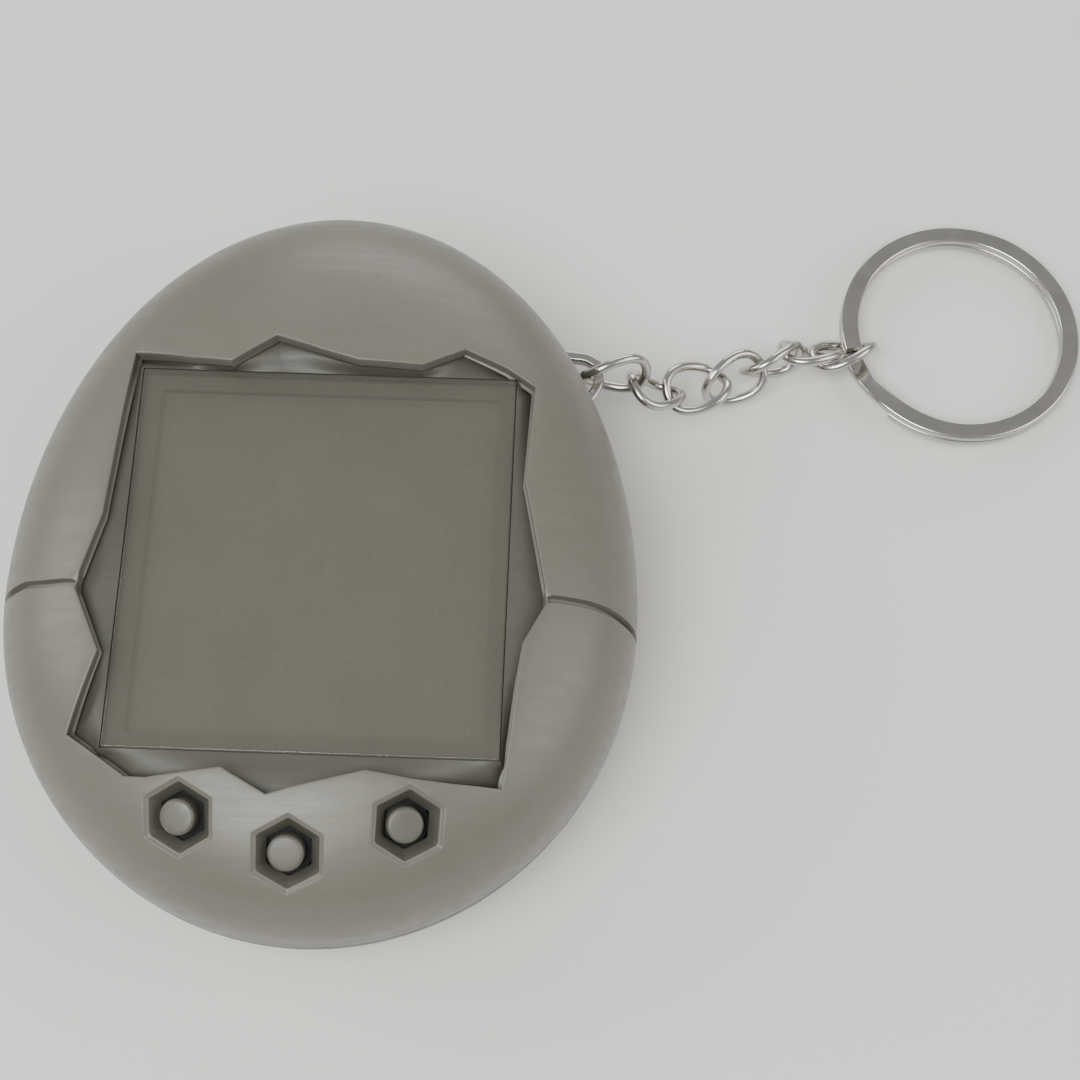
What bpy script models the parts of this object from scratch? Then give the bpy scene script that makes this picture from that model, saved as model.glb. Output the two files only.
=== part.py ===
"""Virtual pet keychain: an egg-shaped hand-held toy with a short chain and a split ring.

The toy lies on its back, face up. Lengths below are millimetres, and MM turns them into metres.
The origin is the centre of the flat back, +X is the toy's right, +Y its top and +Z its face.
"""

import math

import bmesh
import bpy
import numpy as np
from mathutils import Matrix, Vector

MM = 0.001

# Egg body: two half ellipses in plan, domed above and below the rim.
HALF_WIDTH = 21.5
TOP_LENGTH = 29.7
BOTTOM_LENGTH = 22.7
EGG_CENTRE_Y = -1.4
RIM_Z = 9.0
FRONT_RISE = 9.95
FRONT_POWER = 2.8
BACK_DROP = 10.3
BACK_POWER = 2.6
PART_Z = 8.0
PARTING_GAP = 0.15
FRONT_WALL = 1.0
BACK_WALL = 1.3
EGG_SIDES = 56
EGG_RINGS = 9
BACK_RINGS = 7
INNER_RINGS = 6

# Screen slab and the panel around it.
SCREEN_Z = 16.32
SCREEN_WIDTH = 25.4
SCREEN_HEIGHT = 26.8
SCREEN_PROUD = 0.06
LENS_THICK = 1.0
LENS_EDGE = 0.12
LENS_GAP = 0.15
PANEL_GAP = 0.25
PANEL_THICK = 0.8
PANEL_LAP = 0.35
PANEL_SHARES = (0.0, 0.4, 0.75, 1.0)
PANEL_RAYS = 40
LEAST_RAY_ANGLE = 0.015

# Jagged outline of the cracked window, clockwise from the upper left corner.
WINDOW_OUTLINE = [
    (-13.4, 14.6), (-9.5, 13.75), (-6.5, 13.35), (-3.6, 15.4), (0.0, 14.2), (2.1, 13.6),
    (6.4, 13.5), (9.2, 15.1), (12.1, 14.0), (14.0, 12.9), (13.6, 5.5), (14.3, 2.2),
    (15.3, -2.5), (15.3, -3.0), (14.0, -5.6), (13.6, -8.6), (13.3, -12.1), (12.9, -15.1),
    (9.8, -15.15), (7.4, -15.05), (4.4, -14.7), (-0.2, -15.9), (-1.75, -16.4), (-4.7, -14.8),
    (-9.5, -15.4), (-10.9, -15.3), (-15.0, -12.5), (-13.3, -7.3), (-15.3, -3.0),
    (-15.3, -2.5), (-14.0, 2.1), (-13.8, 5.6),
]

# Crack groove around the waist.
GROOVE_Y = -2.7
GROOVE_WIDTH = 0.5
GROOVE_DEPTH = 0.5
GROOVE_START_X = 14.0
GROOVE_STEPS = 12
CUT_OVER = 1.5
WINDOW_CUT = 8.0

# Buttons: hexagonal wells with a ledge, and round caps that slide along the shell's normal.
BUTTONS = {"left": (-7.3, -17.9), "middle": (-0.25, -19.95), "right": (7.2, -17.9)}
WELL_RADIUS = 2.55
WELL_DEPTH = 0.8
WELL_MOUTH_DEPTH = 0.1
WELL_CHAMFER = 1.3
WELL_CUT_DEPTH = 4.0
HOLE_RADIUS = 1.72
CAP_RADIUS = 1.18
CAP_SHIFT = -0.14
CAP_TOP_DEPTH = 0.25
CAP_ROUND = 0.25
FLANGE_RADIUS = 1.75
FLANGE_TOP_DEPTH = 1.35
FLANGE_BOTTOM_DEPTH = 1.8
DOME_TOP_DEPTH = 1.95
DOME_BOTTOM_DEPTH = 4.4
DOME_TOP_RADIUS = 1.2
DOME_BOTTOM_RADIUS = 1.9
DOME_WALL = 0.45
DOME_ROOF = 0.45
BASE_RADIUS = 1.95
PILL_RADIUS = 0.65
PILL_TOP_DEPTH = 2.55
PILL_THICK = 0.35
KEY_SIDES = 20

# Battery pocket, door and screws in the back. Cutters start at BELOW_Z, under the toy.
BELOW_Z = -1.0
FLOOR_INSIDE_Z = 0.6
POCKET_RADIUS = 10.5
POCKET_TOP_Z = 6.1
POCKET_WALL = 1.0
POCKET_ROOF = 0.9
POCKET_SIDES = 44
DOOR_RADIUS = 11.0
DOOR_CLEARANCE = 0.3
DOOR_BOTTOM_Z = 0.0
DOOR_THICK = 1.0
DOOR_TAB_Y = -12.6
DOOR_TAB_RADIUS = 2.3
DOOR_STEPS = 44
TAB_STEPS = 10
DOOR_POST_RADIUS = 2.2
DOOR_POST_BORE_Z = 5.2
DOOR_SCREW_TIP_Z = 4.8
RECESS_Z = 1.2
CELL_RADIUS = 10.0
CELL_BOTTOM_Z = 2.1
CELL_THICK = 3.2
CELL_STEP = 0.5
CELL_LIP = 1.1
CONTACT_THICK = 0.2
CONTACT_GAP = 0.05
NEGATIVE_SIZE = (11.0, 3.0, CONTACT_THICK)
POSITIVE_SIZE = (3.4, 15.0, CONTACT_THICK)
WIRE_RADIUS = 0.25
POSTS = [(-16.4, 11.2), (16.4, 11.2), (-16.3, -9.0), (16.3, -9.0)]
POST_RADIUS = 1.9
REAR_POST_RADIUS = 2.05
BOSS_GAP = 0.1
POST_SIDES = 20
BORE_SIDES = 16
POST_TOP_Z = 7.6
POST_ROOT = 0.5
SCREW_HEAD_RADIUS = 1.3
SCREW_SHANK_RADIUS = 0.7
BORE_RADIUS = 1.55
SHANK_BORE_RADIUS = 1.0
SCREW_HEAD_Z = 4.2
SCREW_HEAD_HEIGHT = 0.85
DOOR_HEAD_HEIGHT = 0.55
SCREW_TIP_Z = 10.2
SCREW_EDGE = 0.3
SCREW_POINT = 0.5
CROSS_SIZE = (1.7, 0.35)
HEAD_GAP = 0.1

# Inside the case.
BOARD_Z = 10.0
BOARD_THICK = 0.9
BOARD_SCALE = 0.85
BOARD_SIDES = 48
SOLDER_GAP = 0.1
BLOB_XY = (0.0, -1.0)
BLOB_RADIUS = 4.2
BLOB_HEIGHT = 1.3
SWITCH_SIZE = (3.2, 3.2, 1.0)
CAPACITOR_SIZE = (2.0, 1.25, 0.8)
CAPACITORS = {"capacitor_1": (-9.0, 3.0), "capacitor_2": (-9.0, 6.0)}
CRYSTAL_XY = (9.0, -6.0)
CRYSTAL_RADIUS = 1.0
CRYSTAL_HALF = 3.0
HOLDER_WIDTH = 25.6
HOLDER_HEIGHT = 26.6
HOLDER_BOTTOM_Z = 11.05
HOLDER_TOP_Z = 14.9
GLASS_WIDTH = 23.6
GLASS_HEIGHT = 25.0
GLASS_ROOM = 0.5
REFLECTOR_SIZE = (21.0, 14.4, 0.15)
VIEW_SIZE = (20.4, 13.6)
GLASS_BOTTOM_Z = 13.4
GLASS_THICK = 1.1
ZEBRA_Y = 8.7
ZEBRA_LENGTH = 19.0
ZEBRA_WIDTH = 1.4
BUZZER_Y = 17.0
BUZZER_RADIUS = 4.2
BUZZER_Z = 4.15
BUZZER_THICK = 0.2
CERAMIC_RADIUS = 2.8
SEAT_WALL = 0.4
SEAT_FLOOR_Z = 2.6
SEAT_SIDES = 28
SOUND_SLOTS = 5
SOUND_PITCH = 1.5
SOUND_WIDTH = 0.7
SOUND_LENGTH = 5.6
RESET_XY = (9.0, 15.8)
RESET_HOLE_RADIUS = 1.1
RESET_TIP_Z = 0.9
RESET_RADIUS = 0.8
RESET_COLLAR = 1.6
RESET_TOP_Z = 8.3
WIRE_STEPS = 10

# Chain lug, a flat strap in the parting plane at the upper right.
LUG_Z = 7.3
LUG_THICK = 0.9
LUG_ROOM = 0.3
LUG_EDGE = 0.14
LUG_BAND = 0.7
LUG_LINE = [
    (13.2, 18.6), (15.23, 19.94), (17.44, 19.73), (18.31, 19.23), (18.45, 17.85), (18.13, 17.03),
    (16.9, 15.3), (14.9, 14.6), (13.2, 16.2),
]

# Chain: seven twisted oval links, each given as centre, heading, climb and roll in degrees.
LINK_LENGTH = 5.45
LINK_WIDTH = 4.4
LINK_WIRE = 0.75
LINK_TWIST = -45.0
LINK_ROUNDNESS = 2.3
LINK_STEPS = 26
LINKS = [
    ((19.55, 18.56, 7.4), 9, -5, -92),
    ((22.52, 18.33, 5.58), 32, -46, -16),
    ((25.70, 19.40, 4.08), 22, -10, -1),
    ((28.61, 20.71, 2.83), 28, 5, 57),
    ((31.58, 22.32, 2.66), 28, -16, 98),
    ((34.50, 23.34, 2.26), 8, -20, -51),
    ((36.95, 23.73, 1.91), 18.2, -3.9, -44),
]

# Split ring: two coils of flat wire.
RING_CENTRE = (45.96, 26.04, 1.25)
RING_RADIUS = 8.49
RING_WIDTH = 1.35
RING_COIL = 0.6
RING_COIL_GAP = 0.08
RING_TILT = 3.1
RING_JOG = 36.0
RING_JOG_AT = 232.0
RING_END_GAP = 2.0
RING_STEPS = 84
RING_CORNER = 0.16


# ---------------------------------------------------------------- egg surface


def plan_length(y):
    """Half length of the plan outline on the side of y."""
    return TOP_LENGTH if y > EGG_CENTRE_Y else BOTTOM_LENGTH


def front_z(x, y, inset=0.0):
    """Height of the front dome over (x, y), or of the same dome made smaller by inset."""
    across = x / (HALF_WIDTH - inset)
    along = (y - EGG_CENTRE_Y) / (plan_length(y) - inset)
    ratio = min(math.hypot(across, along), 1.0)
    return RIM_Z + (FRONT_RISE - inset) * (1.0 - ratio**FRONT_POWER) ** (1.0 / FRONT_POWER)


def front_normal(x, y):
    """Unit outward normal of the front dome over (x, y)."""
    step = 0.01
    slope_x = (front_z(x + step, y) - front_z(x - step, y)) / (2.0 * step)
    slope_y = (front_z(x, y + step) - front_z(x, y - step)) / (2.0 * step)
    return Vector((-slope_x, -slope_y, 1.0)).normalized()


def egg_ring(scale, z, inset=0.0, sides=EGG_SIDES):
    """Points of the plan outline, scaled about the egg's centre, at height z."""
    points = []
    for i in range(sides):
        angle = 2.0 * math.pi * i / sides
        length = plan_length(EGG_CENTRE_Y + math.sin(angle)) - inset
        x = scale * (HALF_WIDTH - inset) * math.cos(angle)
        y = EGG_CENTRE_Y + scale * length * math.sin(angle)
        points.append((x, y, z))
    return points


def profile_front(inset, rings=EGG_RINGS):
    """(scale, z) pairs from the parting plane up to the crown of the front dome."""
    pairs = [(profile_back_scale(PART_Z, inset), PART_Z)]
    for k in range(rings):
        lift = math.pi / 2.0 * k / rings
        scale = math.cos(lift) ** (2.0 / FRONT_POWER)
        z = RIM_Z + (FRONT_RISE - inset) * math.sin(lift) ** (2.0 / FRONT_POWER)
        pairs.append((scale, z))
    return pairs


def profile_back_scale(z, inset):
    """Scale of the back dome's outline at height z."""
    depth = (RIM_Z - z) / (BACK_DROP - inset)
    return (1.0 - depth**BACK_POWER) ** (1.0 / BACK_POWER)


def profile_back(inset, floor_z, top_z, rings=BACK_RINGS):
    """(scale, z) pairs from the parting plane down to the flat floor of the back."""
    pairs = []
    steepest = math.asin(((RIM_Z - floor_z) / (BACK_DROP - inset)) ** (BACK_POWER / 2.0))
    shallowest = math.asin(((RIM_Z - top_z) / (BACK_DROP - inset)) ** (BACK_POWER / 2.0))
    for k in range(rings + 1):
        dip = shallowest + (steepest - shallowest) * k / rings
        scale = math.cos(dip) ** (2.0 / BACK_POWER)
        z = RIM_Z - (BACK_DROP - inset) * math.sin(dip) ** (2.0 / BACK_POWER)
        pairs.append((scale, z))
    return pairs


# ---------------------------------------------------------------- mesh helpers


def material(name, colour, roughness, metallic=0.0, alpha=1.0):
    """A Principled material, made once for each name."""
    made = bpy.data.materials.get(name)
    if made:
        return made
    made = bpy.data.materials.new(name)
    made.use_nodes = True
    shader = made.node_tree.nodes["Principled BSDF"]
    shader.inputs["Base Color"].default_value = (*colour, 1.0)
    shader.inputs["Roughness"].default_value = roughness
    shader.inputs["Metallic"].default_value = metallic
    shader.inputs["Alpha"].default_value = alpha
    return made


def finish(name, bm, finish_material, smooth_angle=30.0, origin=None):
    """Turns a bmesh in millimetres into a named object in metres, with its origin where asked."""
    bmesh.ops.recalc_face_normals(bm, faces=bm.faces)
    pivot = Vector(origin) if origin else Vector((0.0, 0.0, 0.0))
    bmesh.ops.translate(bm, verts=bm.verts, vec=-pivot)
    bmesh.ops.scale(bm, verts=bm.verts, vec=(MM, MM, MM))
    mesh = bpy.data.meshes.new(name)
    bm.to_mesh(mesh)
    bm.free()
    mesh.shade_smooth()
    mesh.set_sharp_from_angle(angle=math.radians(smooth_angle))
    obj = bpy.data.objects.new(name, mesh)
    obj.location = pivot * MM
    bpy.context.collection.objects.link(obj)
    if finish_material:
        mesh.materials.append(finish_material)
    return obj


def cutter(name, bm):
    """A guide object that only cuts others."""
    obj = finish(name, bm, None)
    obj.hide_render = True
    obj.display_type = "WIRE"
    return obj


def combine(obj, other, operation):
    """Adds an exact Boolean with another object."""
    boolean = obj.modifiers.new(f"{operation.lower()}_{other.name}", "BOOLEAN")
    boolean.operation = operation
    boolean.solver = "EXACT"
    boolean.object = other
    return boolean


def loft(rings, closed=False):
    """A bmesh skinned over rings of equal point counts, capped, or closed on itself like a tyre."""
    bm = bmesh.new()
    rows = [[bm.verts.new(point) for point in ring] for ring in rings]
    count = len(rows[0])
    pairs = list(zip(rows, rows[1:]))
    if closed:
        pairs.append((rows[-1], rows[0]))
    for lower, upper in pairs:
        for i in range(count):
            j = (i + 1) % count
            bm.faces.new((lower[i], lower[j], upper[j], upper[i]))
    if not closed:
        bm.faces.new(list(reversed(rows[0])))
        bm.faces.new(rows[-1])
    return bm


def circle(radius, z, sides, centre=(0.0, 0.0), start=0.0):
    """Points of a circle at height z."""
    points = []
    for i in range(sides):
        angle = start + 2.0 * math.pi * i / sides
        points.append((centre[0] + radius * math.cos(angle), centre[1] + radius * math.sin(angle), z))
    return points


def turned(profile, sides, centre=(0.0, 0.0), start=0.0):
    """A solid turned from (radius, z) pairs about a vertical axis."""
    return loft([circle(radius, z, sides, centre, start) for radius, z in profile])


def slab(outline, low, high):
    """A flat outline extruded between two heights."""
    return loft([[(x, y, low) for x, y in outline], [(x, y, high) for x, y in outline]])


def box(centre, size):
    """A rectangular block."""
    half_x = size[0] / 2.0
    half_y = size[1] / 2.0
    outline = [
        (centre[0] - half_x, centre[1] - half_y),
        (centre[0] + half_x, centre[1] - half_y),
        (centre[0] + half_x, centre[1] + half_y),
        (centre[0] - half_x, centre[1] + half_y),
    ]
    return slab(outline, centre[2] - size[2] / 2.0, centre[2] + size[2] / 2.0)


def bevel_all(bm, width, segments=2, least_angle=30.0):
    """Rounds every edge sharper than least_angle."""
    sharp = []
    for edge in bm.edges:
        if len(edge.link_faces) == 2 and edge.calc_face_angle() > math.radians(least_angle):
            sharp.append(edge)
    bmesh.ops.bevel(bm, geom=sharp, offset=width, segments=segments, profile=0.5, affect="EDGES")
    return bm


def along_axis(bm, point, direction):
    """Stands a bmesh made about +Z at the origin on a point, with +Z turned to direction."""
    turn = Vector((0.0, 0.0, 1.0)).rotation_difference(direction).to_matrix().to_4x4()
    bmesh.ops.transform(bm, matrix=Matrix.Translation(point) @ turn, verts=bm.verts)
    return bm


def offset_outline(outline, distance):
    """Moves every side of a clockwise outline outwards by distance, with mitred corners."""
    moved = []
    count = len(outline)
    for i in range(count):
        before = Vector(outline[i - 1])
        here = Vector(outline[i])
        after = Vector(outline[(i + 1) % count])
        first = (here - before).normalized()
        second = (after - here).normalized()
        out_first = Vector((-first.y, first.x))
        out_second = Vector((-second.y, second.x))
        mitre = (out_first + out_second).normalized()
        reach = distance / max(mitre.dot(out_first), 0.5)
        moved.append(tuple(here + mitre * reach))
    return moved


# ---------------------------------------------------------------- case


def shell_bowl(outer, inner, inset):
    """A closed bowl between an outer and an inner profile, poles closed."""
    rings = [egg_ring(scale, z, inset) for scale, z in reversed(inner)]
    rings += [egg_ring(scale, z) for scale, z in outer]
    return loft(rings)


def keep_inside(obj, inset):
    """Trims an object to the front and back domes shrunk by inset."""
    rings = [egg_ring(scale, z, inset) for scale, z in reversed(profile_back(inset, inset, PART_Z))]
    rings += [egg_ring(scale, z, inset) for scale, z in profile_front(inset)[1:]]
    hull = bpy.data.objects.get("hull") or cutter("hull", loft(rings))
    combine(obj, hull, "INTERSECT")
    return obj


def window_cutter():
    return cutter("cut_window", slab(WINDOW_OUTLINE, SCREEN_Z - WINDOW_CUT, SCREEN_Z + WINDOW_CUT))


def groove_cutter(side):
    """A curved blade that follows the shell's section at the waist, right (1) or left (-1)."""
    below = []
    above = []
    last_x = HALF_WIDTH - 0.02
    for i in range(GROOVE_STEPS + 1):
        x = GROOVE_START_X + (last_x - GROOVE_START_X) * math.sin(math.pi / 2.0 * i / GROOVE_STEPS)
        z = front_z(x, GROOVE_Y)
        normal = front_normal(min(x, last_x - 0.01), GROOVE_Y)
        below.append((x - normal.x * GROOVE_DEPTH, z - normal.z * GROOVE_DEPTH))
        above.append((x + normal.x * CUT_OVER, z + normal.z * CUT_OVER))
    below.append((HALF_WIDTH - GROOVE_DEPTH, PART_Z - CUT_OVER))
    above.append((HALF_WIDTH + CUT_OVER, PART_Z - CUT_OVER))
    section = below + above[::-1]
    near = [(side * x, GROOVE_Y - GROOVE_WIDTH / 2.0, z) for x, z in section]
    far = [(side * x, GROOVE_Y + GROOVE_WIDTH / 2.0, z) for x, z in section]
    return cutter(f"cut_groove_{'right' if side > 0 else 'left'}", loft([near, far]))


def well_cutter(name, x, y):
    """A hexagonal funnel that ends in a hexagonal hole, with a chamfered mouth."""
    point = Vector((x, y, front_z(x, y)))
    start = math.pi / 2.0
    profile = [
        (HOLE_RADIUS, -WELL_CUT_DEPTH),
        (HOLE_RADIUS, -WELL_DEPTH),
        (WELL_RADIUS - 0.25, -3.0 * WELL_MOUTH_DEPTH),
        (WELL_RADIUS, -WELL_MOUTH_DEPTH),
        (WELL_RADIUS + WELL_CHAMFER, WELL_CHAMFER - WELL_MOUTH_DEPTH),
    ]
    bm = turned(profile, 6, start=start)
    return cutter(f"cut_well_{name}", along_axis(bm, point, front_normal(x, y)))


def make_front_shell(plastic):
    inner = profile_front(FRONT_WALL, INNER_RINGS)
    bowl = shell_bowl(profile_front(0.0), inner, FRONT_WALL)
    shell = finish("front_shell", bowl, plastic)
    for index, spot in enumerate(POSTS):
        boss = turned([(POST_RADIUS, PART_Z + BOSS_GAP), (POST_RADIUS, SCREEN_Z)], POST_SIDES, spot)
        combine(shell, keep_inside(cutter(f"boss_{index + 1}", boss), POST_ROOT), "UNION")
    combine(shell, window_cutter(), "DIFFERENCE")
    for side in (1, -1):
        combine(shell, groove_cutter(side), "DIFFERENCE")
    for name, (x, y) in BUTTONS.items():
        combine(shell, well_cutter(name, x, y), "DIFFERENCE")
    bore_top = SCREW_TIP_Z + 0.6
    for index, spot in enumerate(POSTS):
        bore = turned([(SHANK_BORE_RADIUS, SCREW_HEAD_Z), (SHANK_BORE_RADIUS, bore_top)], BORE_SIDES, spot)
        combine(shell, cutter(f"cut_boss_{index + 1}", bore), "DIFFERENCE")
    return shell


def door_outline(grow):
    """Round door with a rounded tab for its screw, as one outline."""
    radius = DOOR_RADIUS + grow
    tab = DOOR_TAB_RADIUS + grow
    half = math.asin(tab / radius)
    points = []
    for i in range(DOOR_STEPS + 1):
        angle = -math.pi / 2.0 + half + (2.0 * math.pi - 2.0 * half) * i / DOOR_STEPS
        points.append((radius * math.cos(angle), radius * math.sin(angle)))
    for i in range(TAB_STEPS + 1):
        angle = math.pi + math.pi * i / TAB_STEPS
        points.append((tab * math.cos(angle), DOOR_TAB_Y + tab * math.sin(angle)))
    return points


def add_rear_posts(shell):
    """Battery pocket wall, screw posts and the sounder's seat, all joined to the rear shell."""
    wall_radius = POCKET_RADIUS + POCKET_WALL
    wall_top = POCKET_TOP_Z + POCKET_ROOF
    pocket = turned([(wall_radius, FLOOR_INSIDE_Z), (wall_radius, wall_top)], POCKET_SIDES)
    combine(shell, cutter("pocket_wall", pocket), "UNION")
    door_post = [(DOOR_POST_RADIUS, FLOOR_INSIDE_Z), (DOOR_POST_RADIUS, POST_TOP_Z)]
    combine(shell, cutter("door_post", turned(door_post, POST_SIDES, (0.0, DOOR_TAB_Y))), "UNION")
    for index, spot in enumerate(POSTS):
        post = turned([(REAR_POST_RADIUS, 0.0), (REAR_POST_RADIUS, POST_TOP_Z)], POST_SIDES, spot)
        combine(shell, keep_inside(cutter(f"post_{index + 1}", post), POST_ROOT), "UNION")
    seat_radius = BUZZER_RADIUS + SEAT_WALL
    seat_top = BUZZER_Z - BUZZER_THICK
    seat = turned([(seat_radius, 0.0), (seat_radius, seat_top)], SEAT_SIDES, (0.0, BUZZER_Y))
    combine(shell, keep_inside(cutter("buzzer_seat", seat), POST_ROOT), "UNION")


def cut_screw_bores(shell):
    """Stepped bores for the case screws and a plain one for the door's screw."""
    plain = [(SHANK_BORE_RADIUS, BELOW_Z), (SHANK_BORE_RADIUS, DOOR_POST_BORE_Z)]
    bore = turned(plain, BORE_SIDES, (0.0, DOOR_TAB_Y))
    combine(shell, cutter("cut_door_post", bore), "DIFFERENCE")
    shoulder = SCREW_HEAD_Z + SCREW_HEAD_HEIGHT + 2.0 * HEAD_GAP
    steps = [
        (BORE_RADIUS, BELOW_Z),
        (BORE_RADIUS, shoulder),
        (SHANK_BORE_RADIUS, shoulder),
        (SHANK_BORE_RADIUS, PART_Z + 1.0),
    ]
    for index, spot in enumerate(POSTS):
        combine(shell, cutter(f"cut_post_{index + 1}", turned(steps, POST_SIDES, spot)), "DIFFERENCE")


def cut_sound_slots(shell):
    """Seat well over the sounder and the slots that let its sound out."""
    well_radius = BUZZER_RADIUS - 0.5
    well = turned([(well_radius, SEAT_FLOOR_Z), (well_radius, POCKET_TOP_Z)], SEAT_SIDES, (0.0, BUZZER_Y))
    combine(shell, cutter("cut_seat", well), "DIFFERENCE")
    for index in range(SOUND_SLOTS):
        spread = index - SOUND_SLOTS // 2
        size = (SOUND_WIDTH, SOUND_LENGTH - abs(spread), 4.0)
        slot = box((spread * SOUND_PITCH, BUZZER_Y, 2.0), size)
        combine(shell, cutter(f"cut_sound_{index + 1}", slot), "DIFFERENCE")


def make_rear_shell(plastic):
    top_z = PART_Z - PARTING_GAP
    inner = profile_back(BACK_WALL, BACK_WALL, top_z, INNER_RINGS)
    bowl = shell_bowl(profile_back(0.0, 0.0, top_z), inner, BACK_WALL)
    shell = finish("rear_shell", bowl, plastic)
    add_rear_posts(shell)
    hollow = turned([(POCKET_RADIUS, BELOW_Z), (POCKET_RADIUS, POCKET_TOP_Z)], POCKET_SIDES)
    combine(shell, cutter("cut_pocket", hollow), "DIFFERENCE")
    recess = slab(door_outline(DOOR_CLEARANCE), BELOW_Z, RECESS_Z)
    combine(shell, cutter("cut_recess", recess), "DIFFERENCE")
    cut_screw_bores(shell)
    cut_sound_slots(shell)
    hole = turned([(RESET_HOLE_RADIUS, BELOW_Z), (RESET_HOLE_RADIUS, 3.0)], BORE_SIDES, RESET_XY)
    combine(shell, cutter("cut_reset", hole), "DIFFERENCE")
    slot = lug_loop(LUG_BAND + 2.0 * LUG_ROOM, LUG_Z - LUG_THICK / 2.0 - LUG_ROOM, PART_Z)
    combine(shell, cutter("cut_lug", slot), "DIFFERENCE")
    return shell


def reach_of(outline, angle):
    """Distance from the origin to an outline in the direction of an angle."""
    ray = Vector((math.cos(angle), math.sin(angle)))
    best = 0.0
    for i in range(len(outline)):
        start = Vector(outline[i - 1])
        side = Vector(outline[i]) - start
        cross = ray.x * side.y - ray.y * side.x
        if abs(cross) < 1e-9:
            continue
        distance = (start.x * side.y - start.y * side.x) / cross
        place = (start.x * ray.y - start.y * ray.x) / cross
        if distance > 0.0 and -1e-6 <= place <= 1.0 + 1e-6:
            best = max(best, distance)
    return best


def along_ray(angle, distance):
    return distance * math.cos(angle), distance * math.sin(angle)


def make_window_panel(plastic):
    """Panel under the window: follows the dome at the shell and falls to the screen's edge."""
    half_x = SCREEN_WIDTH / 2.0 + LENS_GAP
    half_y = SCREEN_HEIGHT / 2.0 + LENS_GAP
    inner = [(-half_x, half_y), (half_x, half_y), (half_x, -half_y), (-half_x, -half_y)]
    outer = offset_outline(WINDOW_OUTLINE, PANEL_LAP)
    angles = [math.atan2(y, x) for x, y in inner + WINDOW_OUTLINE + outer]
    angles += [2.0 * math.pi * i / PANEL_RAYS - math.pi for i in range(PANEL_RAYS)]
    angles.sort()
    following = angles[1:] + [angles[0] + 2.0 * math.pi]
    kept = [a for a, b in zip(angles, following) if b - a > LEAST_RAY_ANGLE]
    top = []
    for share in PANEL_SHARES:
        ring = []
        for angle in kept:
            near = reach_of(inner, angle)
            x, y = along_ray(angle, near + (reach_of(WINDOW_OUTLINE, angle) - near) * share)
            blend = share * share * (3.0 - 2.0 * share)
            edge_z = front_z(x, y, FRONT_WALL) - PANEL_GAP
            ring.append((x, y, SCREEN_Z + (edge_z - SCREEN_Z) * blend))
        top.append(ring)
    rim = [along_ray(angle, reach_of(outer, angle)) for angle in kept]
    top.append([(x, y, front_z(x, y, FRONT_WALL) - PANEL_GAP) for x, y in rim])
    bottom = [[(x, y, z - PANEL_THICK) for x, y, z in ring] for ring in top]
    return finish("window_panel", loft(top + bottom[::-1], closed=True), plastic)


def rounded_box(centre, size, width, segments=2):
    """A block with rounded edges."""
    return bevel_all(box(centre, size), width, segments)


def make_screen(clear, glass, foil, frame):
    """Lens, display glass, reflector and the frame that holds them."""
    top = SCREEN_Z + SCREEN_PROUD
    lens_size = (SCREEN_WIDTH, SCREEN_HEIGHT, LENS_THICK)
    finish("screen_lens", rounded_box((0.0, 0.0, top - LENS_THICK / 2.0), lens_size, LENS_EDGE), clear)
    glass_z = GLASS_BOTTOM_Z + GLASS_THICK / 2.0
    finish("lcd_glass", box((0.0, 0.0, glass_z), (GLASS_WIDTH, GLASS_HEIGHT, GLASS_THICK)), glass)
    finish("lcd_reflector", box((0.0, 0.0, GLASS_BOTTOM_Z - 0.2), REFLECTOR_SIZE), foil)
    height = HOLDER_TOP_Z - HOLDER_BOTTOM_Z
    centre_z = (HOLDER_TOP_Z + HOLDER_BOTTOM_Z) / 2.0
    block = box((0.0, 0.0, centre_z), (HOLDER_WIDTH, HOLDER_HEIGHT, height))
    holder = finish("lcd_holder", block, frame)
    bed_depth = HOLDER_TOP_Z - GLASS_BOTTOM_Z + 0.35
    bed_size = (GLASS_WIDTH + GLASS_ROOM, GLASS_HEIGHT + GLASS_ROOM, 2.0 * bed_depth)
    combine(holder, cutter("cut_bed", box((0.0, 0.0, HOLDER_TOP_Z), bed_size)), "DIFFERENCE")
    combine(holder, cutter("cut_view", box((0.0, 0.0, centre_z), (*VIEW_SIZE, 10.0))), "DIFFERENCE")
    for sign in (1.0, -1.0):
        slot = box((0.0, sign * ZEBRA_Y, centre_z), (ZEBRA_LENGTH + 0.6, ZEBRA_WIDTH + 0.6, 10.0))
        combine(holder, cutter(f"cut_zebra_{'upper' if sign > 0 else 'lower'}", slot), "DIFFERENCE")


def make_zebra_strips(rubber):
    """Elastomer connectors between the display glass and the board."""
    low = BOARD_Z + BOARD_THICK + 0.1
    high = GLASS_BOTTOM_Z - 0.1
    for name, sign in (("zebra_strip_upper", 1.0), ("zebra_strip_lower", -1.0)):
        block = box((0.0, sign * ZEBRA_Y, (low + high) / 2.0), (ZEBRA_LENGTH, ZEBRA_WIDTH, high - low))
        finish(name, block, rubber)


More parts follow.
